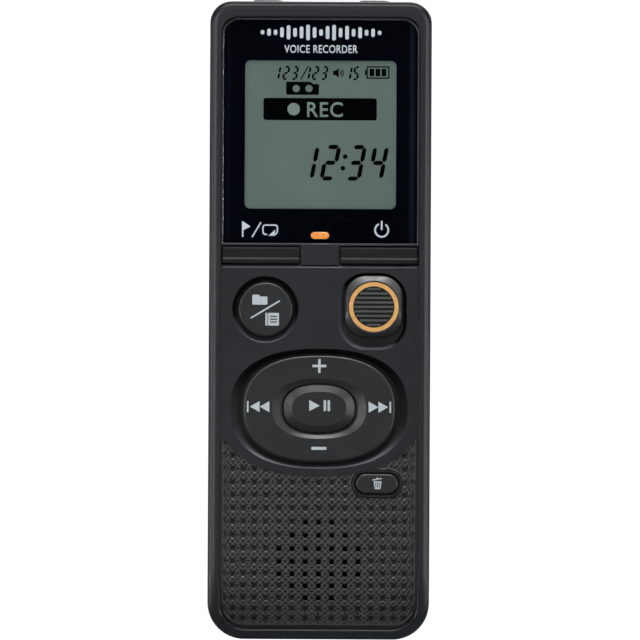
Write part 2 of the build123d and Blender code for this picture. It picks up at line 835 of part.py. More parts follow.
# ---------------------------------------------------------------- keypad and board
dome_side, dome_rise = 9.8, 6.5     # switches under the rocker, from its middle
dome_points = bar_key_at + [
    folder_at, (0.0, nav_z), (-dome_side, nav_z), (dome_side, nav_z),
    (0.0, nav_z + dome_rise), (0.0, nav_z - dome_rise), erase_at,
]

with BuildPart() as keypad_membrane:
    with BuildSketch(at_y(-5.35)):
        with Locations((0, 46.0)):
            Rectangle(31.4, 42.0)
        # openings for the rocker, the slide switch and the board screws
        with BuildLine():
            Spline(*squircle((14.45, 10.4)), periodic=True)
        make_face(mode=Mode.SUBTRACT)
        with Locations((rec_x, 55.6)):
            Rectangle(8.2, 11.2, mode=Mode.SUBTRACT)
        with Locations(*pcb_screw_at):
            Circle(1.75, mode=Mode.SUBTRACT)
    extrude(amount=0.6)
    # studs behind the keys
    with BuildSketch(at_y(-5.05)):
        with Locations(*bar_key_at, folder_at, erase_at):
            Circle(1.1)
    extrude(amount=0.35)
save("keypad_membrane", keypad_membrane)

with BuildPart() as main_pcb:
    with BuildSketch(at_y(pcb_back)):
        with Locations((0, 61.9)):
            Rectangle(32.4, 74.2)
        # narrower top, between the upper screws
        with Locations((0, 102.2)):
            Rectangle(24.6, 6.6)
        with Locations(*pcb_screw_at):
            Circle(0.7, mode=Mode.SUBTRACT)
    extrude(amount=pcb_back - pcb_front)
save("main_pcb", main_pcb)

with BuildPart() as dome_switches:
    with BuildSketch(at_y(pcb_front)):
        with Locations(*dome_points):
            Circle(2.0)
    extrude(amount=0.2, taper=40)
save("dome_switches", dome_switches)

with BuildPart() as slide_switch_body:
    with BuildSketch(at_y(pcb_front)):
        with Locations(rec_mid_at):
            Rectangle(5.6, 8.4)
    extrude(amount=1.1)
    # slot for the lever
    with BuildSketch(at_y(-5.3)):
        with Locations(rec_mid_at):
            Rectangle(lever_w + 0.4, lever_h + rec_travel + 0.6)
    extrude(amount=1, mode=Mode.SUBTRACT)
save("slide_switch_body", slide_switch_body)

# pieces on the back of the board
cpu_at = (5.2, 84.6)
chip_chamfer = 0.1
small_part_back = -3.2
small_part_thickness = pcb_back - small_part_back    # negative: from the board backwards
capacitor_places = [
    (12.8, 80.4), (12.8, 78.4), (1.2, 92.3), (4.2, 92.3), (12.8, 88.6), (2.9, 95.6), (2.9, 97.8),
]

with BuildPart() as cpu_chip:
    with BuildSketch(at_y(-3.1)):
        with Locations(cpu_at):
            Rectangle(9.0, 9.0)
    extrude(amount=0.75)
    with BuildSketch(at_y(-3.85)):
        with Locations(cpu_at):
            Rectangle(8.4, 8.4)
    extrude(amount=0.15)
    chamfer(cpu_chip.faces().sort_by(Axis.Y)[-1].edges(), chip_chamfer)
save("cpu_chip", cpu_chip)

with BuildPart() as memory_chip:
    with BuildSketch(at_y(-3.0)):
        with Locations((-7.4, 85.5)):
            Rectangle(10.0, 12.0)
    extrude(amount=1.0)
    chamfer(memory_chip.faces().sort_by(Axis.Y)[-1].edges(), chip_chamfer)
save("memory_chip", memory_chip)

with BuildPart() as crystal:
    with BuildSketch(at_y(small_part_back)):
        with Locations((12.8, 84.4)):
            RectangleRounded(3.2, 2.5, 0.4)
    extrude(amount=-small_part_thickness)
save("crystal", crystal)

with BuildPart() as pcb_capacitors:
    with BuildSketch(at_y(-0.9)):
        with Locations((-1.6, 96.6)):
            Circle(2.0)
    extrude(amount=3.1)
    with BuildSketch(at_y(small_part_back)):
        with Locations(*capacitor_places):
            Rectangle(1.6, 0.8)
    extrude(amount=-small_part_thickness)
save("pcb_capacitors", pcb_capacitors)

# shell, its hollow open to the left, and the tongue inside
with BuildPart() as usb_socket:
    with BuildSketch(Plane.YZ.offset(-18.3)):
        with Locations((-2.6, usb_z)):
            RectangleRounded(2.5, 7.4, 0.5)
    extrude(amount=5.2)
    with BuildSketch(Plane.YZ.offset(-18.4)):
        with Locations((-2.6, usb_z)):
            RectangleRounded(1.9, 6.8, 0.4)
    extrude(amount=4.5, mode=Mode.SUBTRACT)
    with BuildSketch(Plane.YZ.offset(-17.4)):
        with Locations((-2.3, usb_z)):
            Rectangle(0.6, 4.4)
    extrude(amount=3.8)
save("usb_socket", usb_socket)

# ---------------------------------------------------------------- sockets and microphone
jack_low = 94.2
collar_low = 106.5
jack_top = height + jack_rise
capsule_low, capsule_length = 102.3, 2.7

for name, x in (("ear_jack", -jack_x), ("mic_jack", jack_x)):
    with BuildPart() as jack:
        with BuildSketch(Plane.XY.offset(jack_low)):
            with Locations((x, jack_y)):
                Rectangle(6.0, 5.0)
        extrude(amount=12.35)
        with BuildSketch(Plane.XY.offset(collar_low)):
            with Locations((x, jack_y)):
                Circle(jack_collar)
        extrude(amount=jack_top - collar_low)
        chamfer(jack.faces().sort_by(Axis.Z)[-1].edges(), 0.12)
        with Locations((x, jack_y, jack_top)):
            Hole(jack_r, depth=jack_depth)
    save(name, jack)

with BuildPart() as microphone_boot:
    with BuildSketch(Plane.XY.offset(102.0)):
        with Locations(mic_at):
            Circle(2.7)
            Circle(2.05, mode=Mode.SUBTRACT)
    extrude(amount=4.45)
save("microphone_boot", microphone_boot)

with BuildPart() as microphone_capsule:
    with BuildSketch(Plane.XY.offset(capsule_low)):
        with Locations(mic_at):
            Circle(2.0)
    extrude(amount=capsule_length)
    with Locations((*mic_at, capsule_low + capsule_length)):
        Hole(0.5, depth=0.6)
save("microphone_capsule", microphone_capsule)

with BuildPart() as mic_mesh:
    with BuildSketch(Plane.XY.offset(106.47)):
        with Locations(mic_at):
            Circle(2.5)
    extrude(amount=0.1)
save("mic_mesh", mic_mesh)

# ---------------------------------------------------------------- speaker
frame_back = -2.2
# section of the cone: (y, distance from its axis)
cone_section = [
    (-4.2, 0.0), (-3.6, 3.0), (-4.3, 7.0), (-4.6, 8.1),
    (-4.85, 8.1), (-4.6, 7.0), (-3.9, 3.0), (-4.5, 0.0),
]

# rim, and a back plate with six round holes
with BuildPart() as speaker_frame:
    with BuildSketch(at_y(frame_back)):
        with Locations(speaker_at):
            Circle(speaker_r)
            Circle(speaker_r - 0.7, mode=Mode.SUBTRACT)
    extrude(amount=2.8)
    with BuildSketch(at_y(frame_back)):
        with Locations(speaker_at):
            Circle(speaker_r)
            Circle(4.2, mode=Mode.SUBTRACT)
    extrude(amount=0.5)
    with BuildSketch(at_y(-2.0)):
        with Locations(speaker_at):
            with PolarLocations(6.2, 6):
                Circle(1.0)
    extrude(amount=1, mode=Mode.SUBTRACT)
save("speaker_frame", speaker_frame)

with BuildPart() as speaker_magnet:
    with BuildSketch(at_y(-0.5)):
        with Locations(speaker_at):
            Circle(5.0)
    extrude(amount=1.7)
    with BuildSketch(at_y(-2.1)):
        with Locations(speaker_at):
            Circle(3.9)
    extrude(amount=0.9)
    fillet(speaker_magnet.faces().sort_by(Axis.Y)[-1].edges(), 0.4)
save("speaker_magnet", speaker_magnet)

with BuildPart() as speaker_cone:
    with BuildSketch(Plane.YZ):
        with BuildLine():
            Polyline(*[(y, speaker_z + r) for y, r in cone_section], close=True)
        make_face()
    revolve(axis=Axis((0, 0, speaker_z), (0, 1, 0)))
save("speaker_cone", speaker_cone)

with BuildPart() as speaker_gasket:
    with BuildSketch(at_y(-5.02)):
        with Locations(speaker_at):
            Circle(8.6)
            Circle(7.4, mode=Mode.SUBTRACT)
    extrude(amount=0.36)
save("speaker_gasket", speaker_gasket)

with BuildPart() as speaker_cloth:
    with BuildSketch(at_y(-5.4)):
        with Locations(speaker_at):
            Circle(7.9)
    extrude(amount=0.14)
save("speaker_cloth", speaker_cloth)

# ---------------------------------------------------------------- batteries and their bay
tray_wall = 0.8
left_cell_low, right_cell_low = 27.4, 24.7
cap_rise, cap_length = 0.9, 1.0     # the plus cap stands out and starts inside the can
cap_r = 1.9
spring_r, spring_length, spring_pitch, spring_wire_r = 3.0, 2.6, 0.95, 0.26
contact_r = 2.2                     # raised discs that meet the plus caps
plate_thickness = 0.3
bridge_low = 23.82
terminal_low = 72.48

with BuildPart() as battery_tray:
    with BuildSketch(at_y(5.45)):
        with Locations(bay_at):
            Rectangle(2 * (bay_half + tray_wall), bay_length + 2 * tray_wall)
    extrude(amount=9.35)
    with BuildSketch(at_y(6)):
        with Locations(bay_at):
            Rectangle(2 * bay_half, bay_length)
    extrude(amount=9.2, mode=Mode.SUBTRACT)
    # holes round the heads of the board screws
    with BuildSketch(at_y(-3.0)):
        with Locations(*pcb_screw_at):
            Circle(1.7)
    extrude(amount=1.5, mode=Mode.SUBTRACT)
    # slots for the solder tails
    with BuildSketch(Plane.XY.offset(bay_high - 0.5)):
        with Locations((-cell_x, tail_y), (cell_x, tail_y)):
            Rectangle(2.2, 0.5)
    extrude(amount=2, mode=Mode.SUBTRACT)
save("battery_tray", battery_tray)

# left cell stands with its plus cap up, right cell with its cap down
# (name, x, lower end of the can, lower end of the cap)
for name, x, can_low, cap_low in (
        ("battery_left", -cell_x, left_cell_low, left_cell_low + cell_len - cap_length),
        ("battery_right", cell_x, right_cell_low + cap_rise, right_cell_low)):
    with BuildPart() as battery:
        with BuildSketch(Plane.XY.offset(can_low)):
            with Locations((x, cell_y)):
                Circle(cell_r)
        extrude(amount=cell_len - cap_rise)
        fillet(battery.edges(), 0.35)
        with BuildSketch(Plane.XY.offset(cap_low)):
            with Locations((x, cell_y)):
                Circle(cap_r)
        extrude(amount=cap_length)
    save(name, battery)

# below the left cell and above the right one: (x, lower end)
with BuildPart() as battery_springs:
    for x, spring_low in ((-cell_x, 24.5), (cell_x, 69.55)):
        with BuildLine() as coil:
            Helix(spring_pitch, spring_length, spring_r, center=(x, cell_y, spring_low))
        with BuildSketch(Plane(origin=coil.line @ 0, z_dir=coil.line % 0)):
            Circle(spring_wire_r)
        sweep(path=coil.line, is_frenet=True)
save("battery_springs", battery_springs)

# plate that joins both cells at the lower end of the bay
with BuildPart() as battery_bridge:
    with BuildSketch(Plane.XY.offset(bridge_low)):
        with Locations((0, 1.4)):
            RectangleRounded(19.0, 7.6, 1.0)
    extrude(amount=plate_thickness)
    with BuildSketch(Plane.XY.offset(24.0)):
        with Locations((cell_x, cell_y)):
            Circle(contact_r)
    extrude(amount=0.65)
save("battery_bridge", battery_bridge)

# plates at the upper end of the bay with solder tails; only the plus one has a raised disc
for name, x, has_contact in (("battery_plus_terminal", -cell_x, True),
                             ("battery_minus_terminal", cell_x, False)):
    with BuildPart() as terminal:
        with BuildSketch(Plane.XY.offset(terminal_low)):
            with Locations((x, 1.15)):
                Rectangle(6.0, 8.1)
        extrude(amount=plate_thickness)
        if has_contact:
            with BuildSketch(Plane.XY.offset(71.95)):
                with Locations((x, cell_y)):
                    Circle(contact_r)
            extrude(amount=0.6)
        with BuildSketch(Plane.XY.offset(terminal_low)):
            with Locations((x, tail_y)):
                Rectangle(2.0, 0.3)
        extrude(amount=2.9)
    save(name, terminal)

# ---------------------------------------------------------------- fasteners
case_head = 0.9                     # thickness of a case screw's head
cross_length, cross_width = 1.7, 0.35

with BuildPart() as case_screws:
    for places, seat in ((upper_screws, upper_seat), (lower_screws, lower_seat)):
        for place in places:
            with BuildSketch(at_y(seat + case_head)):
                with Locations(place):
                    Circle(1.4)
            extrude(amount=case_head)
            with BuildSketch(at_y(seat)):
                with Locations(place):
                    Circle(0.8)
            extrude(amount=8.0)
            # cross slot
            with BuildSketch(at_y(seat + case_head + 0.1)):
                with Locations(place):
                    Rectangle(cross_length, cross_width)
                    Rectangle(cross_width, cross_length)
            extrude(amount=0.6, mode=Mode.SUBTRACT)
save("case_screws", case_screws)

pcb_head = 0.7

with BuildPart() as pcb_screws:
    with BuildSketch(at_y(pcb_back + pcb_head)):
        with Locations(*pcb_screw_at):
            Circle(1.3)
    extrude(amount=pcb_head)
    with BuildSketch(at_y(pcb_back)):
        with Locations(*pcb_screw_at):
            Circle(0.6)
    extrude(amount=2.6)
save("pcb_screws", pcb_screws)


# ---------------------------------------------------------------- wires
def save_wires(name, radius, routes):
    """One piece made of round wires, each along a smooth curve through its route's points."""
    with BuildPart() as wires:
        for route in routes:
            with BuildLine() as lead:
                Spline(*route)
            with BuildSketch(Plane(origin=lead.line @ 0, z_dir=lead.line % 0)):
                Circle(radius)
            sweep(path=lead.line)
    save(name, wires)


# routes are (x, y, z) points
save_wires("speaker_wires", 0.22, [
    [(x, -0.2, 15.0), (x * 1.2, 0.6, 18.6), (x * 1.6, -1.2, 22.35),
     (x * 1.9, -3.2, 22.45), (x * 2.1, -4.4, 23.2), (x * 2.1, -4.4, 24.5)]
    for x in (-1.0, 1.0)])

save_wires("battery_wires", 0.25, [
    [(x, tail_y, 75.75), (x, -2.6, 76.8), (x, -3.1, 77.8), (x, -3.6, 78.3)]
    for x in (-cell_x, cell_x)])

save_wires("mic_wires", 0.2, [
    [(x, mic_at[1], 101.9), (x, -1.4, 101.0), (x, -2.4, 100.2), (x, -3.6, 100.0)]
    for x in (-0.8, 0.8)])
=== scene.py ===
"""Looks of a slim voice recorder that stands upright: X to the right as seen from the front, -Y
towards the viewer, +Z up, with its two sockets at the top. Sizes are in mm unless a comment
says otherwise and are turned into metres by MM."""
import bpy
import bmesh
import json
import math
import numpy as np
from mathutils import Matrix, Vector


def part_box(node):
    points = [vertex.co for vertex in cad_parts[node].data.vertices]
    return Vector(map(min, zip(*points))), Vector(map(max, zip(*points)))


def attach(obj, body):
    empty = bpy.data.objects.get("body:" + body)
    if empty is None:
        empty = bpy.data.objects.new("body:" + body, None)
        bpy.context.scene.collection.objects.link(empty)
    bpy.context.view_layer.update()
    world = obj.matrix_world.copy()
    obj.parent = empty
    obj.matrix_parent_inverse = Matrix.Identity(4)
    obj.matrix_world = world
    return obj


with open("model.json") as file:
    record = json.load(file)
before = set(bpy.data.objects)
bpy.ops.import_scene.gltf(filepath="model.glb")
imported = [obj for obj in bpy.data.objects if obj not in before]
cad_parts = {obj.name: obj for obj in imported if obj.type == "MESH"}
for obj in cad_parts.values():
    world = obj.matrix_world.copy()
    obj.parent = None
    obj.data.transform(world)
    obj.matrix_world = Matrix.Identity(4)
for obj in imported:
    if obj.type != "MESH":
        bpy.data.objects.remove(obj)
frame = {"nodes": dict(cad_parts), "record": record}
bpy.context.view_layer.update()
MM = 0.001
NODES = frame["nodes"]


# ---------------------------------------------------------------- places taken from the frame
def span(node):
    """Lowest and highest corner of a CAD piece."""
    low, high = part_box(node)
    return [v / MM for v in low], [v / MM for v in high]


def centre(node):
    low, high = span(node)
    return [(a + b) / 2 for a, b in zip(low, high)]


case_low, case_high = span("front_case")
FRONT = case_low[1]                   # y of the rim crest
CHIN_Z, CHIN_RADIUS = 12.0, 24.0      # below this height the front curves back on this radius

# outer faces (y) that carry prints
WINDOW_Y = span("display_window")[0][1]
LCD_Y = span("lcd_panel")[0][1]
PLAY_Y = span("play_button")[0][1]
FOLDER_Y = span("folder_button")[0][1]
NAV_Y = -8.2

erase_low, erase_high = span("erase_button")
ERASE_Y = erase_low[1]
erase_centre = centre("erase_button")


# ---------------------------------------------------------------- shader helpers
class Graph:
    """Shader nodes of a material or world. Inputs are numbers, colours or other outputs."""

    def __init__(self, owner, output_kind):
        owner.use_nodes = True
        self.owner, self.tree = owner, owner.node_tree
        self.tree.nodes.clear()
        self.output = self.tree.nodes.new(output_kind)

    def feed(self, socket, value):
        if isinstance(value, bpy.types.NodeSocket):
            self.tree.links.new(value, socket)
        elif isinstance(value, tuple) and len(value) < len(socket.default_value):
            socket.default_value = (*value, 1.0)      # colour without alpha
        else:
            socket.default_value = value

    def node(self, kind, inputs=None, **settings):
        node = self.tree.nodes.new("ShaderNode" + kind)
        for key, value in settings.items():
            setattr(node, key, value)
        for key, value in (inputs or {}).items():
            self.feed(node.inputs[key], value)
        return node

    def mix_shader(self, factor, first, second):
        return self.node("MixShader", {0: factor, 1: first, 2: second}).outputs[0]

    def finish(self, shader):
        self.feed(self.output.inputs["Surface"], shader)
        return self.owner


class Material(Graph):
    """Material whose textures lie in object space; with the default scale they are in mm."""

    def __init__(self, name, scale=1000.0):
        super().__init__(bpy.data.materials.new(name), "ShaderNodeOutputMaterial")
        self.at = self.coords(scale)

    def coords(self, scale, stretch=(1, 1, 1)):
        place = self.node("TexCoord").outputs["Object"]
        size = tuple(scale * s for s in stretch)
        return self.node("Mapping", {"Vector": place, "Scale": size}).outputs["Vector"]

    def position(self):
        """X, Y, Z outputs of the object position, in metres."""
        place = self.node("TexCoord").outputs["Object"]
        return self.node("SeparateXYZ", {0: place}).outputs

    def facing(self):
        """X, Y, Z outputs of the flat face normal."""
        normal = self.node("NewGeometry").outputs["True Normal"]
        return self.node("SeparateXYZ", {0: normal}).outputs

    def noise(self, scale, detail=3.0, roughness=0.55, at=None):
        inputs = {"Scale": scale, "Detail": detail, "Roughness": roughness,
                  "Vector": at or self.at}
        return self.node("TexNoise", inputs).outputs["Fac"]

    def ramp(self, factor, stops):
        """Colour ramp; stops are (position, colour)."""
        node = self.node("ValToRGB", {"Fac": factor})
        elements = node.color_ramp.elements
        while len(elements) < len(stops):
            elements.new(0.5)
        for i, (position, colour) in enumerate(stops):
            elements[i].position = position
            elements[i].color = (*colour, 1.0)
        return node.outputs["Color"]

    def two_tone(self, factor, low, high, start=0.3):
        """Ramp between two colours, symmetric about the middle of the factor."""
        return self.ramp(factor, [(start, low), (1 - start, high)])

    def math(self, operation, *values, clamp=False):
        return self.node("Math", dict(enumerate(values)),
                         operation=operation, use_clamp=clamp).outputs[0]

    def plus(self, a, b, clamp=False):
        return self.math("ADD", a, b, clamp=clamp)

    def minus(self, a, b, clamp=False):
        return self.math("SUBTRACT", a, b, clamp=clamp)

    def times(self, a, b, clamp=False):
        return self.math("MULTIPLY", a, b, clamp=clamp)

    def above(self, a, b):
        return self.math("GREATER_THAN", a, b)

    def below(self, a, b):
        return self.math("LESS_THAN", a, b)

    def absolute(self, a):
        return self.math("ABSOLUTE", a)

    def scaled(self, factor, amount, low, clamp=False):
        """low + amount * factor"""
        return self.plus(self.times(factor, amount), low, clamp=clamp)

    def mix(self, factor, first, second, blend="MIX"):
        # sockets 0, 6, 7 and output 2 are the colour ones of the Mix node
        return self.node("Mix", {0: factor, 6: first, 7: second},
                         data_type="RGBA", blend_type=blend).outputs[2]

    def bump(self, height, strength, depth, normal=None):
        """Bump of the given depth in mm."""
        inputs = {"Strength": strength, "Distance": depth * MM, "Height": height}
        if normal is not None:
            inputs["Normal"] = normal
        return self.node("Bump", inputs).outputs["Normal"]

    def principled(self, **inputs):
        """Principled shader; underscores in the argument names stand for spaces."""
        inputs = {key.replace("_", " "): value for key, value in inputs.items()}
        return self.node("BsdfPrincipled", inputs).outputs["BSDF"]


def tint(colour, factor):
    return tuple(min(1.0, x * factor) for x in colour)


def grey(level):
    return (level, level, level)


# ---------------------------------------------------------------- families of materials
def shade_relief(mat, base, colour, spec):
    """Grip skin: painted highlight on the ridges and painted shade in the hollows, from the
    'relief' attribute.
    """
    relief = mat.node("Attribute", attribute_name="relief").outputs["Fac"]
    # painted light and shade: ridges up to nearly three times lighter, the deepest points much
    # darker
    shade = mat.ramp(relief, [
        (0.0, (2.7, 2.75, 2.65)), (0.22, grey(1.6)), (0.45, grey(0.95)),
        (0.62, grey(0.80)), (0.85, grey(0.55)), (1.0, grey(0.42))])
    return mat.mix(1.0, base, shade, "MULTIPLY"), spec


def shade_grooves(mat, base, colour, spec):
    """Ribbed pad: painted shade darkens the floor of the grooves, which are also dull; the crests
    are painted slightly lighter.
    """
    crest_y, floor_y = -8.36, -8.02
    y = mat.times(mat.position()["Y"], 1000.0)
    down = mat.math("DIVIDE", mat.minus(y, crest_y), floor_y - crest_y, clamp=True)
    # painted shade, darkest on the groove floors; painted light on the crests
    shade = mat.ramp(down, [(0.0, grey(1.15)), (0.45, grey(0.45)), (1.0, grey(0.07))])
    return mat.mix(1.0, base, shade, "MULTIPLY"), mat.times(mat.minus(1.0, down), spec)


def shade_hollows(mat, base, colour, spec):
    """Wells of the front: painted shade on the walls and sunk floors, painted light on the slopes
    that face up.
    """
    field_half_width, field_front_of, field_bottom, field_top = 16.35, -4.0, 2.9, 105.0
    corner_x, corner_z = 2.6, 46.8    # right of and above these, +X slopes count as facing up
    floor_y = -7.62                   # surfaces behind this are sunk
    normal = mat.facing()
    x, y, z = (mat.times(axis, 1000.0) for axis in list(mat.position()))

    steep = mat.times(mat.minus(0.97, mat.absolute(normal["Y"])), 6.0, clamp=True)
    field = mat.times(mat.below(mat.absolute(x), field_half_width), mat.below(y, field_front_of))
    field = mat.times(field, mat.times(mat.above(z, field_bottom), mat.below(z, field_top)))
    corner = mat.times(mat.above(x, corner_x), mat.above(z, corner_z))
    up = mat.plus(normal["Z"], mat.times(mat.times(normal["X"], 0.9), corner))
    up = mat.times(mat.minus(up, 0.12), 3.0, clamp=True)
    wall = mat.times(mat.times(steep, field), mat.minus(1.0, up))
    lit = mat.times(mat.times(steep, field), up)
    sunk = mat.times(mat.times(mat.minus(y, floor_y), 2.6, clamp=True), field)
    # painted shade on the walls, painted light on the slopes that face up, painted shade on the
    # sunk floors
    base = mat.mix(wall, base, tint(colour, 0.22))
    base = mat.mix(mat.times(lit, 0.9), base, tint(colour, 3.0))
    base = mat.mix(mat.times(sunk, 0.75), base, (0.0022, 0.0024, 0.0027))

    # outside the field, faces at 45 degrees and faces turned up lose most of their gloss
    off_diagonal = mat.absolute(mat.minus(mat.absolute(normal["Y"]), 0.707))
    crest = mat.minus(1.0, mat.times(off_diagonal, 14.0), clamp=True)
    crest = mat.times(crest, mat.minus(1.0, field))
    dulled = mat.math("MAXIMUM", mat.times(wall, 0.7), mat.times(crest, 0.93))
    keep = mat.minus(1.0, dulled)
    top = mat.times(mat.minus(normal["Z"], 0.12), 8.0, clamp=True)
    top = mat.times(top, mat.minus(1.0, field))
    top = mat.times(top, mat.above(mat.absolute(normal["Y"]), 0.2))
    keep = mat.times(keep, mat.minus(1.0, mat.times(top, 0.66)))
    return base, mat.times(keep, spec)


def plastic(name, colour, rough=0.45, grain=6.0, grain_strength=0.25, spec=0.5,
            edge=0.25, round_edge=0.09, shading=None):
    """Moulded plastic: fine grain, faint mottling, and a painted highlight that lightens the
    edges, which are also slightly glossier.

    edge is how much the painted highlight lightens edges, round_edge their apparent radius;
    shading is an extra step that paints light and shade into the colour and changes gloss.
    """
    mat = Material(name)
    fine = mat.noise(scale=grain, detail=2.0, roughness=0.6)
    pits = mat.noise(scale=grain * 2.7, detail=1.0)
    broad = mat.noise(scale=0.09, detail=4.0)
    base = mat.two_tone(broad, tint(colour, 0.92), tint(colour, 1.08))
    speck = mat.two_tone(fine, grey(0.90), grey(1.06), start=0.35)
    base = mat.mix(1.0, base, speck, "MULTIPLY")

    # edges show where the rounded normal leaves the real one; there the colour gets a painted
    # highlight
    soft = mat.node("Bevel", {"Radius": round_edge * MM}, samples=4).outputs["Normal"]
    real = mat.node("NewGeometry").outputs["Normal"]
    match = mat.node("VectorMath", {0: soft, 1: real}, operation="DOT_PRODUCT").outputs["Value"]
    edge_highlight = mat.times(mat.minus(1.0, match, clamp=True), 2.2, clamp=True)
    patches = mat.times(mat.noise(scale=0.9, detail=4.0), 1.5, clamp=True)
    edge_highlight = mat.times(edge_highlight, patches, clamp=True)
    # painted highlight: edges lightened up to about twice the colour, in uneven patches
    base = mat.mix(mat.times(edge_highlight, edge, clamp=True), base, tint(colour, 2.1))
    if shading:
        base, spec = shading(mat, base, colour, spec)

    gloss = mat.scaled(mat.noise(scale=0.35, detail=5.0), amount=0.12, low=rough - 0.06)
    gloss = mat.minus(gloss, mat.times(edge_highlight, 0.12), clamp=True)
    height = mat.plus(fine, mat.times(pits, 0.45))
    return mat.finish(mat.principled(
        Base_Color=base, Roughness=gloss, Specular_IOR_Level=spec,
        Normal=mat.bump(height, strength=grain_strength, depth=0.012, normal=soft),
        Coat_Weight=0.0, Coat_Roughness=0.15))


def metal(name, colour, rough, stretch=(1, 1, 30)):
    """Brushed metal; stretch squeezes the brush lines along each axis."""
    mat = Material(name)
    lines = mat.noise(scale=4.0, detail=4.0, roughness=0.6, at=mat.coords(100.0, stretch))
    spots = mat.noise(scale=0.8, detail=4.0)
    return mat.finish(mat.principled(
        Base_Color=mat.two_tone(spots, tint(colour, 0.85), tint(colour, 1.08)), Metallic=1.0,
        Roughness=mat.scaled(lines, amount=0.16, low=rough - 0.08, clamp=True),
        Normal=mat.bump(lines, strength=0.15, depth=0.01)))


def rubbery(name, colour, rough, grain=4.0):
    mat = Material(name)
    fine = mat.noise(scale=grain, detail=4.0, roughness=0.65)
    return mat.finish(mat.principled(
        Base_Color=mat.two_tone(mat.noise(scale=0.4), tint(colour, 0.85), tint(colour, 1.12)),
        Roughness=mat.scaled(fine, amount=0.12, low=rough - 0.06, clamp=True),
        Normal=mat.bump(fine, strength=0.35, depth=0.03), Sheen_Weight=0.15))


def printed(name, colour, rough, spec=0.3):
    """Screen-printed ink: even colour, slightly uneven density."""
    mat = Material(name)
    screen = mat.noise(scale=12.0, detail=2.0)
    return mat.finish(mat.principled(
        Base_Color=mat.two_tone(mat.noise(scale=2.0), tint(colour, 0.93), tint(colour, 1.03)),
        Roughness=mat.scaled(screen, amount=0.1, low=rough - 0.05, clamp=True),
        Normal=mat.bump(screen, strength=0.12, depth=0.006), Specular_IOR_Level=spec))


# ---------------------------------------------------------------- single materials
def orange_ring():
    """Orange lacquer: pearl flakes under a clear coat."""
    mat = Material("orange_ring")
    flakes = mat.node("TexVoronoi", {"Scale": 14.0, "Vector": mat.at})
    base = mat.two_tone(mat.noise(scale=1.2), (0.66, 0.34, 0.10), (0.80, 0.45, 0.16))
    base = mat.mix(0.18, base, flakes.outputs["Color"], "SOFT_LIGHT")
    return mat.finish(mat.principled(
        Base_Color=base, Roughness=0.32, Metallic=0.15, Coat_Weight=0.6, Coat_Roughness=0.08,
        Normal=mat.bump(flakes.outputs["Distance"], strength=0.05, depth=0.004)))


def lamp_pipe():
    """Tinted light pipe, glowing faintly from inside."""
    mat = Material("lamp_pipe")
    cloud = mat.noise(scale=3.0)
    base = mat.two_tone(cloud, (0.62, 0.19, 0.035), (0.85, 0.33, 0.08), start=0.35)
    return mat.finish(mat.principled(
        Base_Color=base, Roughness=0.28, Specular_IOR_Level=0.3, Coat_Weight=0.4,
        Subsurface_Weight=0.25, Subsurface_Radius=(0.001, 0.0004, 0.0002),
        Emission_Color=base, Emission_Strength=0.22,
        Normal=mat.bump(cloud, strength=0.1, depth=0.01)))


def window_clear():
    """Clear window with faint smudges in its gloss and a frosted sloping rim."""
    mat = Material("window_clear")
    smudge = mat.noise(scale=0.22, detail=5.0, roughness=0.6)
    waviness = mat.noise(scale=0.12, detail=2.0)
    gloss = mat.node("BsdfGlossy", {
        "Color": (0.95, 0.97, 1.0),
        "Roughness": mat.scaled(smudge, amount=0.035, low=0.005),
        "Normal": mat.bump(waviness, strength=0.02, depth=0.05)}).outputs["BSDF"]
    clear = mat.node("BsdfTransparent", {"Color": (0.93, 0.95, 0.95)}).outputs["BSDF"]
    fresnel = mat.node("Fresnel", {"IOR": 1.49}).outputs["Fac"]
    backfacing = mat.node("NewGeometry").outputs["Backfacing"]
    pane = mat.mix_shader(mat.times(fresnel, mat.minus(1.0, backfacing)), clear, gloss)

    # the rim is neither square to the front nor to the sides
    facing_y = mat.facing()["Y"]
    rim = mat.times(mat.below(mat.absolute(facing_y), 0.965),
                    mat.above(mat.absolute(facing_y), 0.30))
    frost_noise = mat.noise(scale=2.0, detail=2.0)
    frost = mat.principled(
        Base_Color=mat.two_tone(frost_noise, (0.075, 0.080, 0.090), (0.105, 0.110, 0.122)),
        Roughness=0.5, Specular_IOR_Level=0.1)
    return mat.finish(mat.mix_shader(rim, pane, frost))


def mask_print():
    """Black print under the window, with a painted reflection as a pale band near its left and
    right edges.
    """
    mat = Material("mask_print")
    base = mat.two_tone(mat.noise(scale=1.5, detail=4.0),
                        (0.0006, 0.0009, 0.0028), (0.0011, 0.0016, 0.0043))
    x = mat.times(mat.position()["X"], 1000.0)
    from_right = mat.absolute(mat.minus(x, 15.5))
    right = mat.minus(1.0, mat.times(from_right, 1.5), clamp=True)
    from_left = mat.absolute(mat.plus(x, 15.6))
    left = mat.minus(1.0, mat.times(from_left, 2.0), clamp=True)
    edge_reflection = mat.plus(right, mat.times(left, 0.35))
    # painted reflection near the window's right edge, weaker near the left
    base = mat.mix(mat.times(edge_reflection, 0.9, clamp=True), base, (0.011, 0.014, 0.023))
    return mat.finish(mat.principled(
        Base_Color=base, Specular_IOR_Level=0.0,
        Roughness=mat.scaled(mat.noise(scale=0.5), amount=0.08, low=0.5),
        Normal=mat.bump(mat.noise(scale=10.0), strength=0.04, depth=0.004)))


def display_finish(mat, base, film):
    return mat.finish(mat.principled(
        Base_Color=base, Roughness=0.5, Specular_IOR_Level=0.25,
        Normal=mat.bump(film, strength=0.05, depth=0.01)))


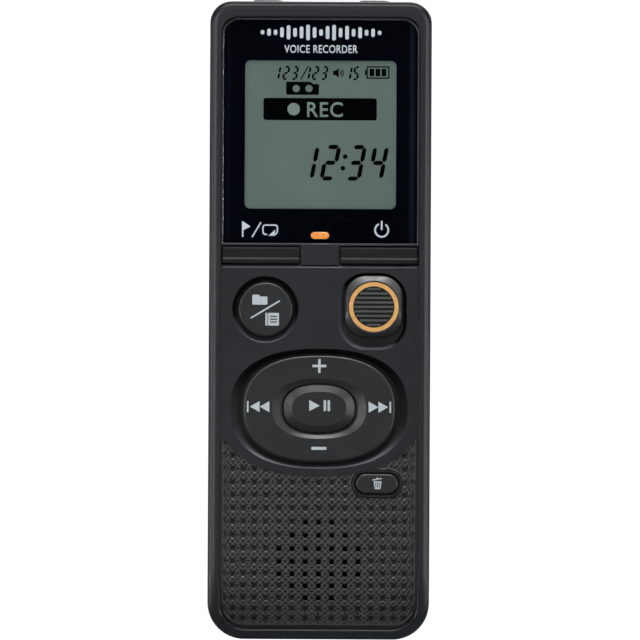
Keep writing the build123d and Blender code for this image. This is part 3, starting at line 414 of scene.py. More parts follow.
def liquid_crystal():
    """Grey-green display, clouded, with a faint film grain."""
    mat = Material("liquid_crystal")
    film = mat.noise(scale=3.5, roughness=0.6)
    base = mat.two_tone(mat.noise(scale=0.06, detail=2.0),
                        (0.138, 0.178, 0.157), (0.151, 0.193, 0.171), start=0.25)
    base = mat.mix(1.0, base, mat.two_tone(film, grey(0.96), grey(1.03)), "MULTIPLY")
    return display_finish(mat, base, film)


def liquid_crystal_clear():
    """Lighter display colour for shapes cut out of a dark bar."""
    mat = Material("liquid_crystal_clear")
    film = mat.noise(scale=3.5, roughness=0.6)
    base = mat.two_tone(film, (0.228, 0.284, 0.255), (0.246, 0.304, 0.273))
    return display_finish(mat, base, film)


def pearl_film():
    mat = Material("pearl_film")
    return mat.finish(mat.principled(
        Base_Color=mat.two_tone(mat.noise(scale=1.0, detail=4.0),
                                (0.40, 0.45, 0.43), (0.52, 0.57, 0.55)),
        Roughness=0.3, Metallic=0.3,
        Normal=mat.bump(mat.noise(scale=5.0), strength=0.1, depth=0.01)))


def board_mask():
    """Green solder mask with tracks showing through."""
    mat = Material("board_mask")
    tracks = mat.node("TexBrick", {
        "Scale": 0.55, "Mortar Size": 0.035, "Vector": mat.at,
        "Color1": (0.010, 0.085, 0.030), "Color2": (0.014, 0.105, 0.038),
        "Mortar": (0.030, 0.190, 0.060)})
    mottle = mat.two_tone(mat.noise(scale=1.2, detail=4.0),
                          (0.008, 0.07, 0.025), (0.02, 0.14, 0.05))
    return mat.finish(mat.principled(
        Base_Color=mat.mix(0.25, tracks.outputs["Color"], mottle), Roughness=0.3,
        Coat_Weight=0.4, Normal=mat.bump(tracks.outputs["Fac"], strength=0.25, depth=0.02)))


def cell_sleeve():
    """Dark cell wrap with a copper band at one end; the cell on +X stands the other way up."""
    turn_sum = 96.6                   # z of a point plus z of its place on the turned cell
    stripe_at, stripe_half, band_from, bare_from = 57.6, 0.45, 59.0, 71.0
    mat = Material("cell_sleeve")
    place = mat.position()
    z = mat.times(place["Z"], 1000.0)
    turned = mat.above(place["X"], 0.0)
    along = mat.plus(mat.times(turned, mat.minus(turn_sum, z)),
                     mat.times(mat.minus(1.0, turned), z))
    band = mat.above(along, band_from)
    stripe = mat.below(mat.absolute(mat.minus(along, stripe_at)), stripe_half)
    bare = mat.above(along, bare_from)
    wrinkles = mat.noise(scale=0.6, detail=5.0)
    colour = mat.mix(band, (0.015, 0.017, 0.022), (0.58, 0.30, 0.13))
    colour = mat.mix(stripe, colour, (0.6, 0.6, 0.58))
    colour = mat.mix(bare, colour, grey(0.6))
    haze = mat.two_tone(wrinkles, grey(0.0), grey(0.3))
    return mat.finish(mat.principled(
        Base_Color=mat.mix(0.035, colour, haze, "SCREEN"),
        Roughness=mat.scaled(wrinkles, amount=0.15, low=0.16),
        Metallic=mat.math("MAXIMUM", bare, mat.times(band, 0.6)),
        Normal=mat.bump(wrinkles, strength=0.12, depth=0.05)))


def woven_scrim():
    mat = Material("woven_scrim")
    threads = [mat.node("TexWave", {"Scale": 2.6, "Vector": mat.at}, wave_type="BANDS",
                        bands_direction=axis).outputs["Fac"] for axis in "XZ"]
    weave = mat.math("MAXIMUM", *threads)
    return mat.finish(mat.principled(
        Base_Color=mat.ramp(weave, [(0.3, grey(0.004)), (0.8, (0.022, 0.022, 0.024))]),
        Roughness=0.9, Sheen_Weight=0.3, Normal=mat.bump(weave, strength=0.6, depth=0.05)))


def cone_film():
    mat = Material("cone_film")
    return mat.finish(mat.principled(
        Base_Color=mat.two_tone(mat.noise(scale=0.8, detail=4.0),
                                (0.20, 0.18, 0.13), (0.30, 0.27, 0.20)),
        Roughness=0.4, Transmission_Weight=0.1,
        Normal=mat.bump(mat.noise(scale=3.0), strength=0.2, depth=0.02)))


SHELL = plastic("shell_plastic", (0.0112, 0.0121, 0.0150), rough=0.40, grain=7.0,
                grain_strength=0.10, spec=0.30, shading=shade_hollows)
COVER = plastic("cover_plastic", (0.0112, 0.0121, 0.0148), rough=0.44, grain=7.0,
                grain_strength=0.14, spec=0.28)
KEY = plastic("key_plastic", (0.0158, 0.0165, 0.0175), rough=0.38, grain=8.0,
              grain_strength=0.07, edge=0.35, spec=0.31)
BAR_KEY = plastic("bar_key_plastic", (0.0125, 0.0136, 0.0152), rough=0.45, grain=8.0,
                  grain_strength=0.07, edge=0.10, spec=0.09)
KNOB = plastic("knob_plastic", (0.0125, 0.0131, 0.0138), rough=0.44, grain=8.0,
               grain_strength=0.07, edge=0.25, spec=0.50)
PAD = plastic("grip_pad_plastic", (0.050, 0.054, 0.052), rough=0.36, grain=8.0,
              grain_strength=0.10, edge=0.5, round_edge=0.05, spec=0.40, shading=shade_grooves)
SKIN = plastic("grip_skin_plastic", (0.0165, 0.0180, 0.0176), rough=0.40, grain=9.0,
               grain_strength=0.06, edge=0.0, round_edge=0.02, spec=0.20, shading=shade_relief)
INNER = plastic("inner_plastic", (0.05, 0.05, 0.055), rough=0.55, grain=5.0, grain_strength=0.3)
JACK = plastic("socket_plastic", (0.012, 0.012, 0.013), rough=0.35, grain=6.0,
               grain_strength=0.15, edge=0.5)
CHIP = plastic("chip_epoxy", (0.018, 0.018, 0.02), rough=0.6, grain=6.0, grain_strength=0.4)
STEEL = metal("nickel_steel", (0.62, 0.61, 0.58), rough=0.26)
SCREW = metal("blackened_screw", (0.16, 0.16, 0.17), rough=0.32, stretch=(1, 8, 1))
GOLD = metal("gold_contact", (0.83, 0.61, 0.28), rough=0.22)
MAGNET = metal("plated_magnet", (0.45, 0.45, 0.46), rough=0.4)
RUBBER = rubbery("silicone", (0.22, 0.23, 0.24), rough=0.6)
FOAM = rubbery("foam_rubber", (0.03, 0.03, 0.032), rough=0.9, grain=2.2)
WIRE_RED = rubbery("lead_insulation", (0.35, 0.03, 0.02), rough=0.45)
INK = printed("pale_ink", (0.49, 0.54, 0.605), rough=0.45)
INK_KEY = printed("key_ink", (0.43, 0.475, 0.505), rough=0.5)
# grey of the painted highlight below the lamp
LAMP_LINE_HIGHLIGHT = printed("dim_ink", (0.16, 0.17, 0.19), rough=0.5)
SEGMENT = printed("display_segment", (0.0006, 0.0006, 0.0007), rough=0.7, spec=0.0)
RING = orange_ring()
LAMP = lamp_pipe()
WINDOW = window_clear()
MASK = mask_print()
LCD = liquid_crystal()
LCD_LIGHT = liquid_crystal_clear()
FILM = pearl_film()
BOARD = board_mask()
CELL = cell_sleeve()
CLOTH = woven_scrim()
CONE = cone_film()

BY_SLOT = {
    "shell": SHELL, "cover": COVER, "window": WINDOW, "mask": MASK, "display": LCD,
    "reflector": FILM, "key": KEY, "accent_ring": RING, "lamp": LAMP, "silicone": RUBBER,
    "board": BOARD, "chip": CHIP, "inner_plastic": INNER, "steel": STEEL, "magnet": MAGNET,
    "cell": CELL, "cloth": CLOTH, "cone": CONE, "foam": FOAM, "wire": WIRE_RED,
}
# pieces whose finish differs from that of their slot
BY_NODE = {
    "index_key": BAR_KEY, "power_key": BAR_KEY, "rec_knob": KNOB, "rec_grip_pad": PAD,
    "ear_jack": JACK, "mic_jack": JACK, "case_screws": SCREW,
}
for row in frame["record"]["subparts"]:
    materials = NODES[row["node"]].data.materials
    finish = BY_NODE.get(row["node"], BY_SLOT[row["material_slot"]])
    materials.clear()
    materials.append(finish)


# ---------------------------------------------------------------- mesh helpers
def link_object(name, data):
    obj = bpy.data.objects.new(name, data)
    bpy.context.scene.collection.objects.link(obj)
    return obj


def place(name, mesh, material, body, slot):
    """Make an object of a mesh in metres and hang it on one of the bodies."""
    mesh.materials.clear()
    mesh.materials.append(material)
    obj = link_object(name, mesh)
    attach(obj, body)
    return obj


def new_object(name, verts, faces, material, body, slot, smooth=False):
    mesh = bpy.data.meshes.new(name)
    mesh.from_pydata([tuple(c * MM for c in point) for point in verts], [], faces)
    mesh.validate()
    mesh.update()
    if smooth:
        mesh.polygons.foreach_set("use_smooth", [True] * len(mesh.polygons))
    return place(name, mesh, material, body, slot)


def curve_mesh(name, curve):
    """Turn a curve into a mesh and drop the curve."""
    holder = link_object(name + "_t", curve)
    bpy.context.view_layer.update()
    depsgraph = bpy.context.evaluated_depsgraph_get()
    mesh = bpy.data.meshes.new_from_object(holder.evaluated_get(depsgraph))
    bpy.data.objects.remove(holder)
    bpy.data.curves.remove(curve)
    mesh.name = name
    return mesh


PRINT_THICKNESS = 0.02
OVERPRINT_THICKNESS = 0.012           # light shapes on top of a dark one


def flat_piece(name, loops, y, material, body, slot, thickness=PRINT_THICKNESS):
    """Plate with closed outlines (x, z; inner ones are holes), its back at y."""
    curve = bpy.data.curves.new(name + "_c", "CURVE")
    curve.dimensions = "2D"
    curve.fill_mode = "BOTH"
    curve.extrude = thickness / 2
    for loop in loops:
        spline = curve.splines.new("POLY")
        spline.points.add(len(loop) - 1)
        for point, (x, z) in zip(spline.points, loop):
            point.co = (x, z, 0, 1)
        spline.use_cyclic_u = True
    mesh = curve_mesh(name, curve)
    mesh.transform(Matrix.Translation((0, 0, thickness / 2)))
    mesh.transform(Matrix.Rotation(math.radians(90), 4, "X"))
    mesh.transform(Matrix.Translation((0, y, 0)))
    bm = bmesh.new()
    bm.from_mesh(mesh)
    bmesh.ops.remove_doubles(bm, verts=bm.verts, dist=1e-4)
    bmesh.ops.recalc_face_normals(bm, faces=bm.faces)
    bm.to_mesh(mesh)
    bm.free()
    mesh.transform(Matrix.Scale(MM, 4))
    return place(name, mesh, material, body, slot)


def window_print(name, loops, material=INK):
    flat_piece(name, loops, WINDOW_Y, material, "case", "window")


def lcd_print(name, loops):
    flat_piece(name, loops, LCD_Y, SEGMENT, "case", "display")


def key_print(name, loops, y, body):
    flat_piece(name, loops, y, INK_KEY, body, "key")


def letters(name, text, box, y, thickness, material, slot):
    """Raised text stretched into box (x0, z0, x1, z1), its back at y."""
    x0, z0, x1, z1 = box
    curve = bpy.data.curves.new(name + "_c", "FONT")
    curve.body = text
    curve.offset = 0.012              # makes the strokes bolder
    curve.space_character = 1.08
    curve.resolution_u = 6
    mesh = curve_mesh(name, curve)
    points = np.array([v.co for v in mesh.vertices])
    low, high = points.min(0), points.max(0)
    bm = bmesh.new()
    bm.from_mesh(mesh)
    bmesh.ops.remove_doubles(bm, verts=bm.verts, dist=1e-5)
    for vert in bm.verts:
        x = x0 + (vert.co.x - low[0]) / (high[0] - low[0]) * (x1 - x0)
        z = z0 + (vert.co.y - low[1]) / (high[1] - low[1]) * (z1 - z0)
        vert.co = (x * MM, y * MM, z * MM)
    extruded = bmesh.ops.extrude_face_region(bm, geom=list(bm.faces))
    for part in extruded["geom"]:
        if isinstance(part, bmesh.types.BMVert):
            part.co.y -= thickness * MM
    bmesh.ops.recalc_face_normals(bm, faces=bm.faces)
    bm.to_mesh(mesh)
    bm.free()
    return place(name, mesh, material, "case", slot)


# ---------------------------------------------------------------- outlines (x, z)
def arc(x, z, radius, degrees):
    return [(x + radius * math.cos(math.radians(a)), z + radius * math.sin(math.radians(a)))
            for a in degrees]


def circle(x, z, radius, steps):
    turn = [2 * math.pi * i / steps for i in range(steps)]
    return [(x + radius * math.cos(a), z + radius * math.sin(a)) for a in turn]


def rounded(x0, z0, x1, z1, radius, steps):
    """Rectangle with rounded corners."""
    corners = ((x1 - radius, z1 - radius, 0), (x0 + radius, z1 - radius, 90),
               (x0 + radius, z0 + radius, 180), (x1 - radius, z0 + radius, 270))
    points = []
    for x, z, start in corners:
        points += arc(x, z, radius, [start + 90 * i / steps for i in range(steps + 1)])
    return points


def stroke(points, width, cap=True):
    """Outline of a line through the points, with round ends if cap is set."""
    points = [Vector(point) for point in points]

    def end_cap(tip, before):
        if not cap:
            return []
        direction = (tip - before).normalized()
        angle = math.atan2(direction.y, direction.x)
        turn = [angle + math.radians(90 - 22.5 * i) for i in range(1, 8)]
        return [(tip.x + width / 2 * math.cos(a), tip.y + width / 2 * math.sin(a)) for a in turn]

    left, right = [], []
    for i, point in enumerate(points):
        if i == 0:
            direction = (points[1] - point).normalized()
        elif i == len(points) - 1:
            direction = (point - points[i - 1]).normalized()
        else:
            arriving = (point - points[i - 1]).normalized()
            leaving = (points[i + 1] - point).normalized()
            direction = (arriving + leaving).normalized()
            # widened at the bend so that the line keeps its width, within a limit
            direction = direction / max(0.35, direction.dot(arriving))
        offset = Vector((-direction.y, direction.x)) * width / 2
        left.append(tuple(point + offset))
        right.append(tuple(point - offset))
    return (left + end_cap(points[-1], points[-2])
            + right[::-1] + end_cap(points[0], points[1]))


# ---------------------------------------------------------------- textured grip skin
SKIN_HALF_WIDTH = 16.34
SKIN_BOTTOM = 2.46
SKIN_CORNER = 3.76                    # radius of the bottom corners
SKIN_STEPS = 264                      # grid cells each way
SKIN_BLOCK = 6                        # grid cells per side of a large face on the back
SKIN_TOP_GAP = 0.06                   # below the arc that bounds the skin
SKIN_FACE_INSET, SKIN_BACK_INSET = 0.34, 0.652     # behind the rim crest

# dimple columns (distance from the middle) and rows (z)
COLUMNS = np.array([0.0, 2.23, 4.47, 6.70, 8.89, 10.86, 12.76, 14.53, 16.2, 17.8])
ROWS = np.array([0.6, 2.1, 3.6, 5.2, 7.05, 9.07, 11.08, 13.17, 15.36, 17.61,
                 19.86, 22.1, 24.3, 26.5, 28.75, 31.0, 33.2, 35.4, 37.6])

GRILLE_RADIUS = 0.44
# grille holes: index of the row, number of columns on each side of the middle
GRILLE_ROWS = ((10, 1), (9, 2), (8, 3), (7, 3), (6, 3), (5, 2), (4, 1))
ERASE_GAP = 0.22                      # around the erase button
ERASE_RADIUS = (erase_high[2] - erase_low[2]) / 2 + ERASE_GAP
ERASE_HALF_STRAIGHT = (erase_high[0] - erase_low[0]) / 2 + ERASE_GAP - ERASE_RADIUS
# openings: x, z, radius, half length of the straight part, how near grid points snap to them
ERASE_OPENING = (erase_centre[0], erase_centre[2], ERASE_RADIUS, ERASE_HALF_STRAIGHT, 0.075)
OPENINGS = [ERASE_OPENING] + [
    (math.copysign(COLUMNS[abs(i)], i), ROWS[row_index], GRILLE_RADIUS, 0.0, 0.078)
    for row_index, reach in GRILLE_ROWS for i in range(-reach, reach + 1)]


def top_arc(x, half_width=18.0, rise=13.6, top=41.36, power=2.4):
    """Superellipse that bounds the skin above; it sags to its lowest in the middle."""
    return top - rise * (1 - (abs(x) / half_width) ** power) ** (1 / power)


def ease(value):
    """Smooth step from 0 to 1."""
    t = np.clip(value, 0, 1)
    return t * t * (3 - 2 * t)


def diamond(column, row):
    """Distance from the nearest half crossing, measured along soft diamonds."""
    across = np.abs(((column + 0.25) % 0.5) - 0.25) / 0.25
    along = np.abs(((row + 0.25) % 0.5) - 0.25) / 0.25
    return (across ** 1.15 + along ** 1.15) ** (1 / 1.15)


def skin_relief(x, z, bottom, top):
    """Depth pressed into the skin at each grid point."""
    # lattice coordinates: dimple columns and rows lie at whole numbers
    column = np.interp(np.abs(x), COLUMNS, np.arange(len(COLUMNS))) * np.sign(x)
    row = np.interp(z, ROWS, np.arange(len(ROWS)))
    # staggered diamond pits, 0.14 deep
    from_pit = np.minimum(diamond(column, row), diamond(column + 0.25, row + 0.25))
    depth = 0.14 * (1 - ease((from_pit - 0.56) / 0.34))
    # round dimples on every whole crossing, 0.26 deep
    from_column = np.abs(x) - COLUMNS[np.round(np.abs(column)).astype(int)]
    from_row = z - ROWS[np.round(row).astype(int)]
    depth = np.maximum(depth, 0.26 * ease((0.61 - np.hypot(from_column, from_row)) / 0.22))
    # smooth border
    to_edge = np.minimum(np.minimum(SKIN_HALF_WIDTH - np.abs(x), z - bottom), top - z)
    return depth * np.clip(to_edge / 0.35, 0, 1)


def from_spine(opening, x, z):
    """Distance from the middle line of an opening, and x of the nearest point on it."""
    centre_x, centre_z, _, half_straight, _ = opening
    along = np.clip(x - centre_x, -half_straight, half_straight)
    return np.hypot(x - centre_x - along, z - centre_z), centre_x + along


def chin_surface(chin, inset):
    """y of the case front, moved in by inset; chin is the height below CHIN_Z, 0 or less."""
    return FRONT + CHIN_RADIUS - np.sqrt((CHIN_RADIUS - inset) ** 2 - chin ** 2)


def skin_faces(use):
    """Faces of the used grid cells: fine front, coarse back where possible, and walls."""
    count = (SKIN_STEPS + 1) ** 2     # points on the front; those of the back follow
    index = np.arange(count).reshape(SKIN_STEPS + 1, SKIN_STEPS + 1)
    blocks, size = SKIN_STEPS // SKIN_BLOCK, SKIN_BLOCK
    full = use.reshape(blocks, size, blocks, size).all(axis=(1, 3))
    faces = []
    for i in range(SKIN_STEPS):
        for j in range(SKIN_STEPS):
            if not use[i, j]:
                continue
            a, b = int(index[i, j]), int(index[i + 1, j])
            c, d = int(index[i + 1, j + 1]), int(index[i, j + 1])
            faces.append((a, b, c, d))
            if not full[i // size, j // size]:
                faces.append((a + count, d + count, c + count, b + count))
            # wall towards each neighbour that is missing
            for di, dj, p, q in ((-1, 0, d, a), (1, 0, b, c), (0, -1, a, b), (0, 1, c, d)):
                ni, nj = i + di, j + dj
                outside = not (0 <= ni < SKIN_STEPS and 0 <= nj < SKIN_STEPS)
                if outside or not use[ni, nj]:
                    faces.append((q, p, p + count, q + count))

    # large back faces keep fine points only along neighbours that are fine
    for u in range(blocks):
        for w in range(blocks):
            if not full[u, w]:
                continue

            def side(du, dw, start, step):
                nu, nw = u + du, w + dw
                coarse = 0 <= nu < blocks and 0 <= nw < blocks and full[nu, nw]
                return [index[start[0] + step[0] * q, start[1] + step[1] * q]
                        for q in range(1 if coarse else size)]

            i0, j0 = u * size, w * size
            i1, j1 = i0 + size, j0 + size
            loop = (side(-1, 0, (i0, j0), (0, 1)) + side(0, 1, (i0, j1), (1, 0))
                    + side(1, 0, (i1, j1), (0, -1)) + side(0, -1, (i1, j0), (-1, 0)))
            faces.append(tuple(int(q) + count for q in loop))
    return faces


def build_skin():
    line = np.linspace(-SKIN_HALF_WIDTH, SKIN_HALF_WIDTH, SKIN_STEPS + 1)
    x = np.repeat(line[:, None], SKIN_STEPS + 1, 1)
    corner = np.clip(np.abs(line) - (SKIN_HALF_WIDTH - SKIN_CORNER), 0, SKIN_CORNER)
    drop = np.sqrt(np.maximum(SKIN_CORNER ** 2 - corner ** 2, 0.0))
    bottom = (SKIN_BOTTOM + SKIN_CORNER - drop)[:, None]
    top = (np.array([top_arc(v) for v in line]) - SKIN_TOP_GAP)[:, None]
    z = bottom + (top - bottom) * np.linspace(0, 1, SKIN_STEPS + 1)[None, :]

    relief = skin_relief(x, z, bottom, top)
    from_button = from_spine(ERASE_OPENING, x, z)[0]
    relief = relief * np.clip((from_button - ERASE_RADIUS) / 0.3, 0, 1)    # smooth collar

    # pull grid points onto the outlines of the openings
    inside = np.zeros(x.shape, bool)
    snap_x, snap_z = x, z
    for opening in OPENINGS:
        _, centre_z, radius, _, reach = opening
        distance, spine_x = from_spine(opening, x, z)
        near = np.abs(distance - radius) < reach
        pull = np.where(near, radius / np.maximum(distance, 1e-6), 1.0)
        snap_x = np.where(near, spine_x + (x - spine_x) * pull, snap_x)
        snap_z = np.where(near, centre_z + (z - centre_z) * pull, snap_z)
        inside |= (distance < radius) & ~near

    chin = np.minimum(snap_z - CHIN_Z, 0.0)
    back = chin_surface(chin, SKIN_BACK_INSET)
    normal_y = np.sqrt(np.maximum(1 - (chin / CHIN_RADIUS) ** 2, 0))
    face = np.minimum(chin_surface(chin, SKIN_FACE_INSET) + relief / normal_y, back - 0.004)
    verts = np.concatenate([np.stack([snap_x, y, snap_z], -1).reshape(-1, 3)
                            for y in (face, back)])

    # cells in use: no corner and no middle inside an opening
    def corners(grid):
        return grid[:-1, :-1], grid[1:, :-1], grid[:-1, 1:], grid[1:, 1:]

    use = ~np.logical_or.reduce(corners(inside))
    middle_x, middle_z = sum(corners(snap_x)) / 4, sum(corners(snap_z)) / 4
    for opening in OPENINGS:
        use &= from_spine(opening, middle_x, middle_z)[0] > opening[2] - 0.03

    faces = skin_faces(use)
    used = sorted({v for face_points in faces for v in face_points})
    renumber = {v: i for i, v in enumerate(used)}
    faces = [tuple(renumber[v] for v in face_points) for face_points in faces]
    obj = new_object("grip_skin", verts[used].tolist(), faces, SKIN, "case", "shell", smooth=True)

    # relief for the material: 0 on the ridges, about 1 at the deepest and on the back
    mesh = obj.data
    deep = np.concatenate([(relief / 0.29).reshape(-1), np.ones(relief.size)])[used]
    attribute = mesh.attributes.new("relief", "FLOAT", "POINT")
    attribute.data.foreach_set("value", deep.astype(np.float32))
    bm = bmesh.new()
    bm.from_mesh(mesh)
    bmesh.ops.recalc_face_normals(bm, faces=bm.faces)
    for edge in bm.edges:
        if len(edge.link_faces) == 2 and edge.calc_face_angle(0) > math.radians(58):
            edge.smooth = False
    bm.to_mesh(mesh)
    bm.free()


build_skin()


# ---------------------------------------------------------------- prints on the window
WAVE_HEIGHTS = (0.75, 1.2, 0.9, 1.7, 2.4, 1.5, 2.0, 2.65, 1.8, 1.1,
                2.2, 2.65, 1.6, 2.3, 1.3, 1.9, 1.0, 1.4, 0.75)
WAVE_START, WAVE_PITCH, WAVE_Z, WAVE_HALF_BAR = -9.9, 1.1, 102.72, 0.31


def wave_bar(i, height):
    x = WAVE_START + WAVE_PITCH * i
    return rounded(x - WAVE_HALF_BAR, WAVE_Z - height / 2,
                   x + WAVE_HALF_BAR, WAVE_Z + height / 2, 0.28, 4)


def print_window():
    window_print("window_mark_wave", [wave_bar(i, h) for i, h in enumerate(WAVE_HEIGHTS)])
    window_print("window_icon_flag", [
        [(-13.2, 68.1), (-12.95, 68.1), (-12.95, 69.25), (-11.75, 69.85), (-13.2, 70.8)]])
    window_print("window_icon_slash", [stroke([(-11.45, 68.15), (-10.05, 70.5)], 0.24)])
    repeat_line = [
        (-9.05, 68.55), (-9.35, 68.55), (-9.6, 68.75), (-9.66, 69.1), (-9.66, 69.75),
        (-9.55, 70.0), (-9.3, 70.12), (-7.6, 70.12), (-7.32, 70.0), (-7.22, 69.75),
        (-7.22, 69.1), (-7.3, 68.78), (-7.55, 68.56)]
    repeat_arrow = [(-8.75, 68.3), (-7.6, 68.3), (-7.6, 69.35)]
    window_print("window_icon_repeat", [stroke(repeat_line, 0.24), repeat_arrow])
    x, z = 10.42, 69.35               # middle of the power sign
    window_print("window_icon_power", [
        stroke(arc(x, z, 1.12, range(122, 419, 9)), 0.3),
        stroke([(x, z + 0.15), (x, z + 1.45)], 0.3)])
    # painted highlight: a thin light line below the lamp, drawn as a flat grey strip
    window_print("window_lamp_line", [rounded(-1.48, 66.9, 1.48, 67.02, 0.05, 3)], LAMP_LINE_HIGHLIGHT)


print_window()

# ---------------------------------------------------------------- display content
# segments a to g: lying (level 0 to 2) or standing (side, lower 0 or upper 1)
SEGMENTS = {"a": "h2", "b": "r1", "c": "r0", "d": "h0", "e": "l0", "f": "l1", "g": "h1"}
DIGITS = {"1": "bc", "2": "abged", "3": "abgcd", "4": "fgbc", "5": "afgcd"}
LEAN = 0.19                           # x shift per mm of height


def seven_segments(digit, x0, z0, width, height, thick):
    """Outlines of a leaning seven-segment digit with its lower left corner at x0, z0."""
    half, gap = thick / 2, thick * 0.16
    inset = thick * 0.42 + gap        # of a segment's tip from the edge of the digit
    tip = thick * 0.5
    loops = []
    for letter in DIGITS[digit]:
        kind, level = SEGMENTS[letter]
        if kind == "h":
            z = z0 + {"0": half, "1": height / 2, "2": height - half}[level]
            left, right = inset, width - inset
            loop = [(left, z), (left + tip, z + half), (right - tip, z + half),
                    (right, z), (right - tip, z - half), (left + tip, z - half)]
        else:
            x = half if kind == "l" else width - half
            low = z0 + (inset if level == "0" else height / 2 + gap)
            high = z0 + (height / 2 - gap if level == "0" else height - inset)
            loop = [(x, low), (x + half, low + tip), (x + half, high - tip),
                    (x, high), (x - half, high - tip), (x - half, low + tip)]
        loops.append([(x0 + x + LEAN * (z - z0), z) for x, z in loop])
    return loops


def digit_row(digits, z0, width, height, thick, lean_height):
    """Digits given as (digit, x of the right end of the lean)."""
    loops = []
    for digit, right in digits:
        loops += seven_segments(digit, right - width - LEAN * lean_height, z0,
                                width, height, thick)
    return loops


def print_display():
    clock = digit_row((("1", -0.06), ("2", 3.58), ("3", 7.92), ("4", 11.66)),
                      z0=77.7, width=2.66, height=6.05, thick=0.72, lean_height=6.0)
    colon = [circle(4.18, 81.77, 0.40, 20), circle(3.81, 79.8, 0.40, 20)]
    lcd_print("lcd_clock", clock + colon)
    counter = digit_row((("1", -6.62), ("2", -5.12), ("3", -3.63), ("1", -1.51),
                         ("2", -0.13), ("3", 1.36), ("1", 5.47), ("5", 6.72)),
                        z0=94.68, width=1.04, height=2.42, thick=0.36, lean_height=2.4)
    slash = stroke([(-3.42, 94.75), (-2.12, 97.05)], 0.2, cap=False)
    lcd_print("lcd_counter", counter + [slash])
    speaker = [(2.1, 95.55), (2.5, 95.55), (3.02, 95.1), (3.02, 96.75), (2.5, 96.3), (2.1, 96.3)]
    lcd_print("lcd_volume_icon", [speaker] + [
        stroke(arc(3.0, 95.93, radius, range(-50, 51, 20)), 0.17, cap=False)
        for radius in (0.42, 0.78)])
    lcd_print("lcd_battery_icon", [
        rounded(7.72, 94.97, 11.62, 97.08, 0.12, 3), rounded(7.94, 95.19, 11.40, 96.86, 0.06, 3),
        rounded(7.45, 95.6, 7.7, 96.45, 0.05, 2)] + [
        rounded(x, 95.4, x + 0.77, 96.65, 0.04, 2) for x in (8.25, 9.27, 10.29)])
    folder = [(-5.87, 92.35), (-5.72, 92.2), (-0.45, 92.2), (-0.3, 92.35), (-0.3, 93.85),
              (-0.45, 94.0), (-1.35, 94.05), (-1.75, 94.4), (-5.72, 94.4), (-5.87, 94.25)]
    lcd_print("lcd_folder_icon", [
        folder, circle(-4.15, 93.25, 0.62, 24), circle(-2.0, 93.25, 0.62, 24)])
    lcd_print("lcd_rec_bar", [rounded(-9.7, 87.9, 9.5, 91.65, 0.45, 5)])


print_display()
flat_piece("lcd_rec_dot", [circle(-4.57, 89.76, 1.05, 40)], LCD_Y - PRINT_THICKNESS,
           LCD_LIGHT, "case", "display", OVERPRINT_THICKNESS)
letters("window_caption", "VOICE RECORDER", (-6.2, 99.25, 6.2, 100.6), WINDOW_Y,
        PRINT_THICKNESS, INK, "window")
letters("lcd_rec_text", "REC", (-2.3, 88.42, 3.75, 90.98), LCD_Y - PRINT_THICKNESS,
        OVERPRINT_THICKNESS, LCD_LIGHT, "display")


# ---------------------------------------------------------------- prints on the keys
SKIP_Z = centre("nav_ring")[2] + 0.3


def skip_sign(x, side):
    """Two solid triangles and a bar, pointing right (side 1) or left (side -1)."""
    low, high = SKIP_Z - 0.94, SKIP_Z + 0.94
    loops = [
        [(x, low), (x + side * 1.64, SKIP_Z), (x, high)],
        [(x + side * 1.66, low), (x + side * 3.30, SKIP_Z), (x + side * 1.66, high)],
        [(x + side * 3.52, low), (x + side * 3.80, low),
         (x + side * 3.80, high), (x + side * 3.52, high)]]
    return [loop[::side] for loop in loops]


def print_nav_and_play():
    key_print("nav_icon_plus", [[
        (-0.21, 45.15), (0.21, 45.15), (0.21, 46.11), (1.17, 46.11),
        (1.17, 46.53), (0.21, 46.53), (0.21, 47.49), (-0.21, 47.49),
        (-0.21, 46.53), (-1.17, 46.53), (-1.17, 46.11), (-0.21, 46.11)]], NAV_Y, "nav_ring")
    key_print("nav_icon_minus", [rounded(-1.26, 32.14, 1.26, 32.64, 0.05, 2)], NAV_Y, "nav_ring")
    key_print("nav_icon_forward", skip_sign(8.36, 1), NAV_Y, "nav_ring")
    key_print("nav_icon_back", skip_sign(-8.42, -1), NAV_Y, "nav_ring")
    z = SKIP_Z + 0.22
    low, high = z - 0.92, z + 0.92
    key_print("play_icon", [
        [(-1.68, low), (0.10, z), (-1.68, high)],
        rounded(0.75, low, 1.17, high, 0.03, 2), rounded(1.42, low, 1.84, high, 0.03, 2)],
        PLAY_Y, "play_button")


def print_folder():
    folder = [(-11.40, 56.75), (-11.30, 56.65), (-8.95, 56.65), (-8.85, 56.75), (-8.85, 57.93),
              (-8.95, 58.03), (-10.05, 58.03), (-10.3, 58.33), (-11.27, 58.33), (-11.40, 58.18)]
    slash = stroke([(-11.56, 54.42), (-6.84, 57.26)], 0.27)
    key_print("folder_icon", [folder, slash], FOLDER_Y, "folder_button")
    key_print("notebook_icon", [
        rounded(-9.17, 53.12, -8.82, 55.26, 0.06, 2),
        rounded(-8.70, 53.12, -6.88, 55.26, 0.12, 3)] + [
        rounded(-8.4, z, -7.2, z + 0.2, 0.03, 2) for z in (54.55, 54.09, 53.63)],
        FOLDER_Y, "folder_button")


def print_bin():
    x, z = erase_centre[0] + 0.1, erase_centre[2] + 0.05
    body = [(-0.66, 0.36), (-0.50, -0.88), (-0.42, -0.94), (0.42, -0.94), (0.50, -0.88),
            (0.66, 0.36)]
    slots = [rounded(x0, -0.72, x0 + 0.14, 0.16, 0.04, 2) for x0 in (-0.36, -0.07, 0.22)]
    lid = [(-0.86, 0.48), (0.74, 0.76), (0.71, 0.93), (0.12, 0.83), (0.08, 1.02),
           (-0.20, 0.97), (-0.17, 0.78), (-0.89, 0.65)]
    loops = [[(x + dx, z + dz) for dx, dz in loop] for loop in (body, *slots, lid)]
    key_print("bin_icon", loops, ERASE_Y, "erase_button")


print_nav_and_play()
print_folder()
print_bin()


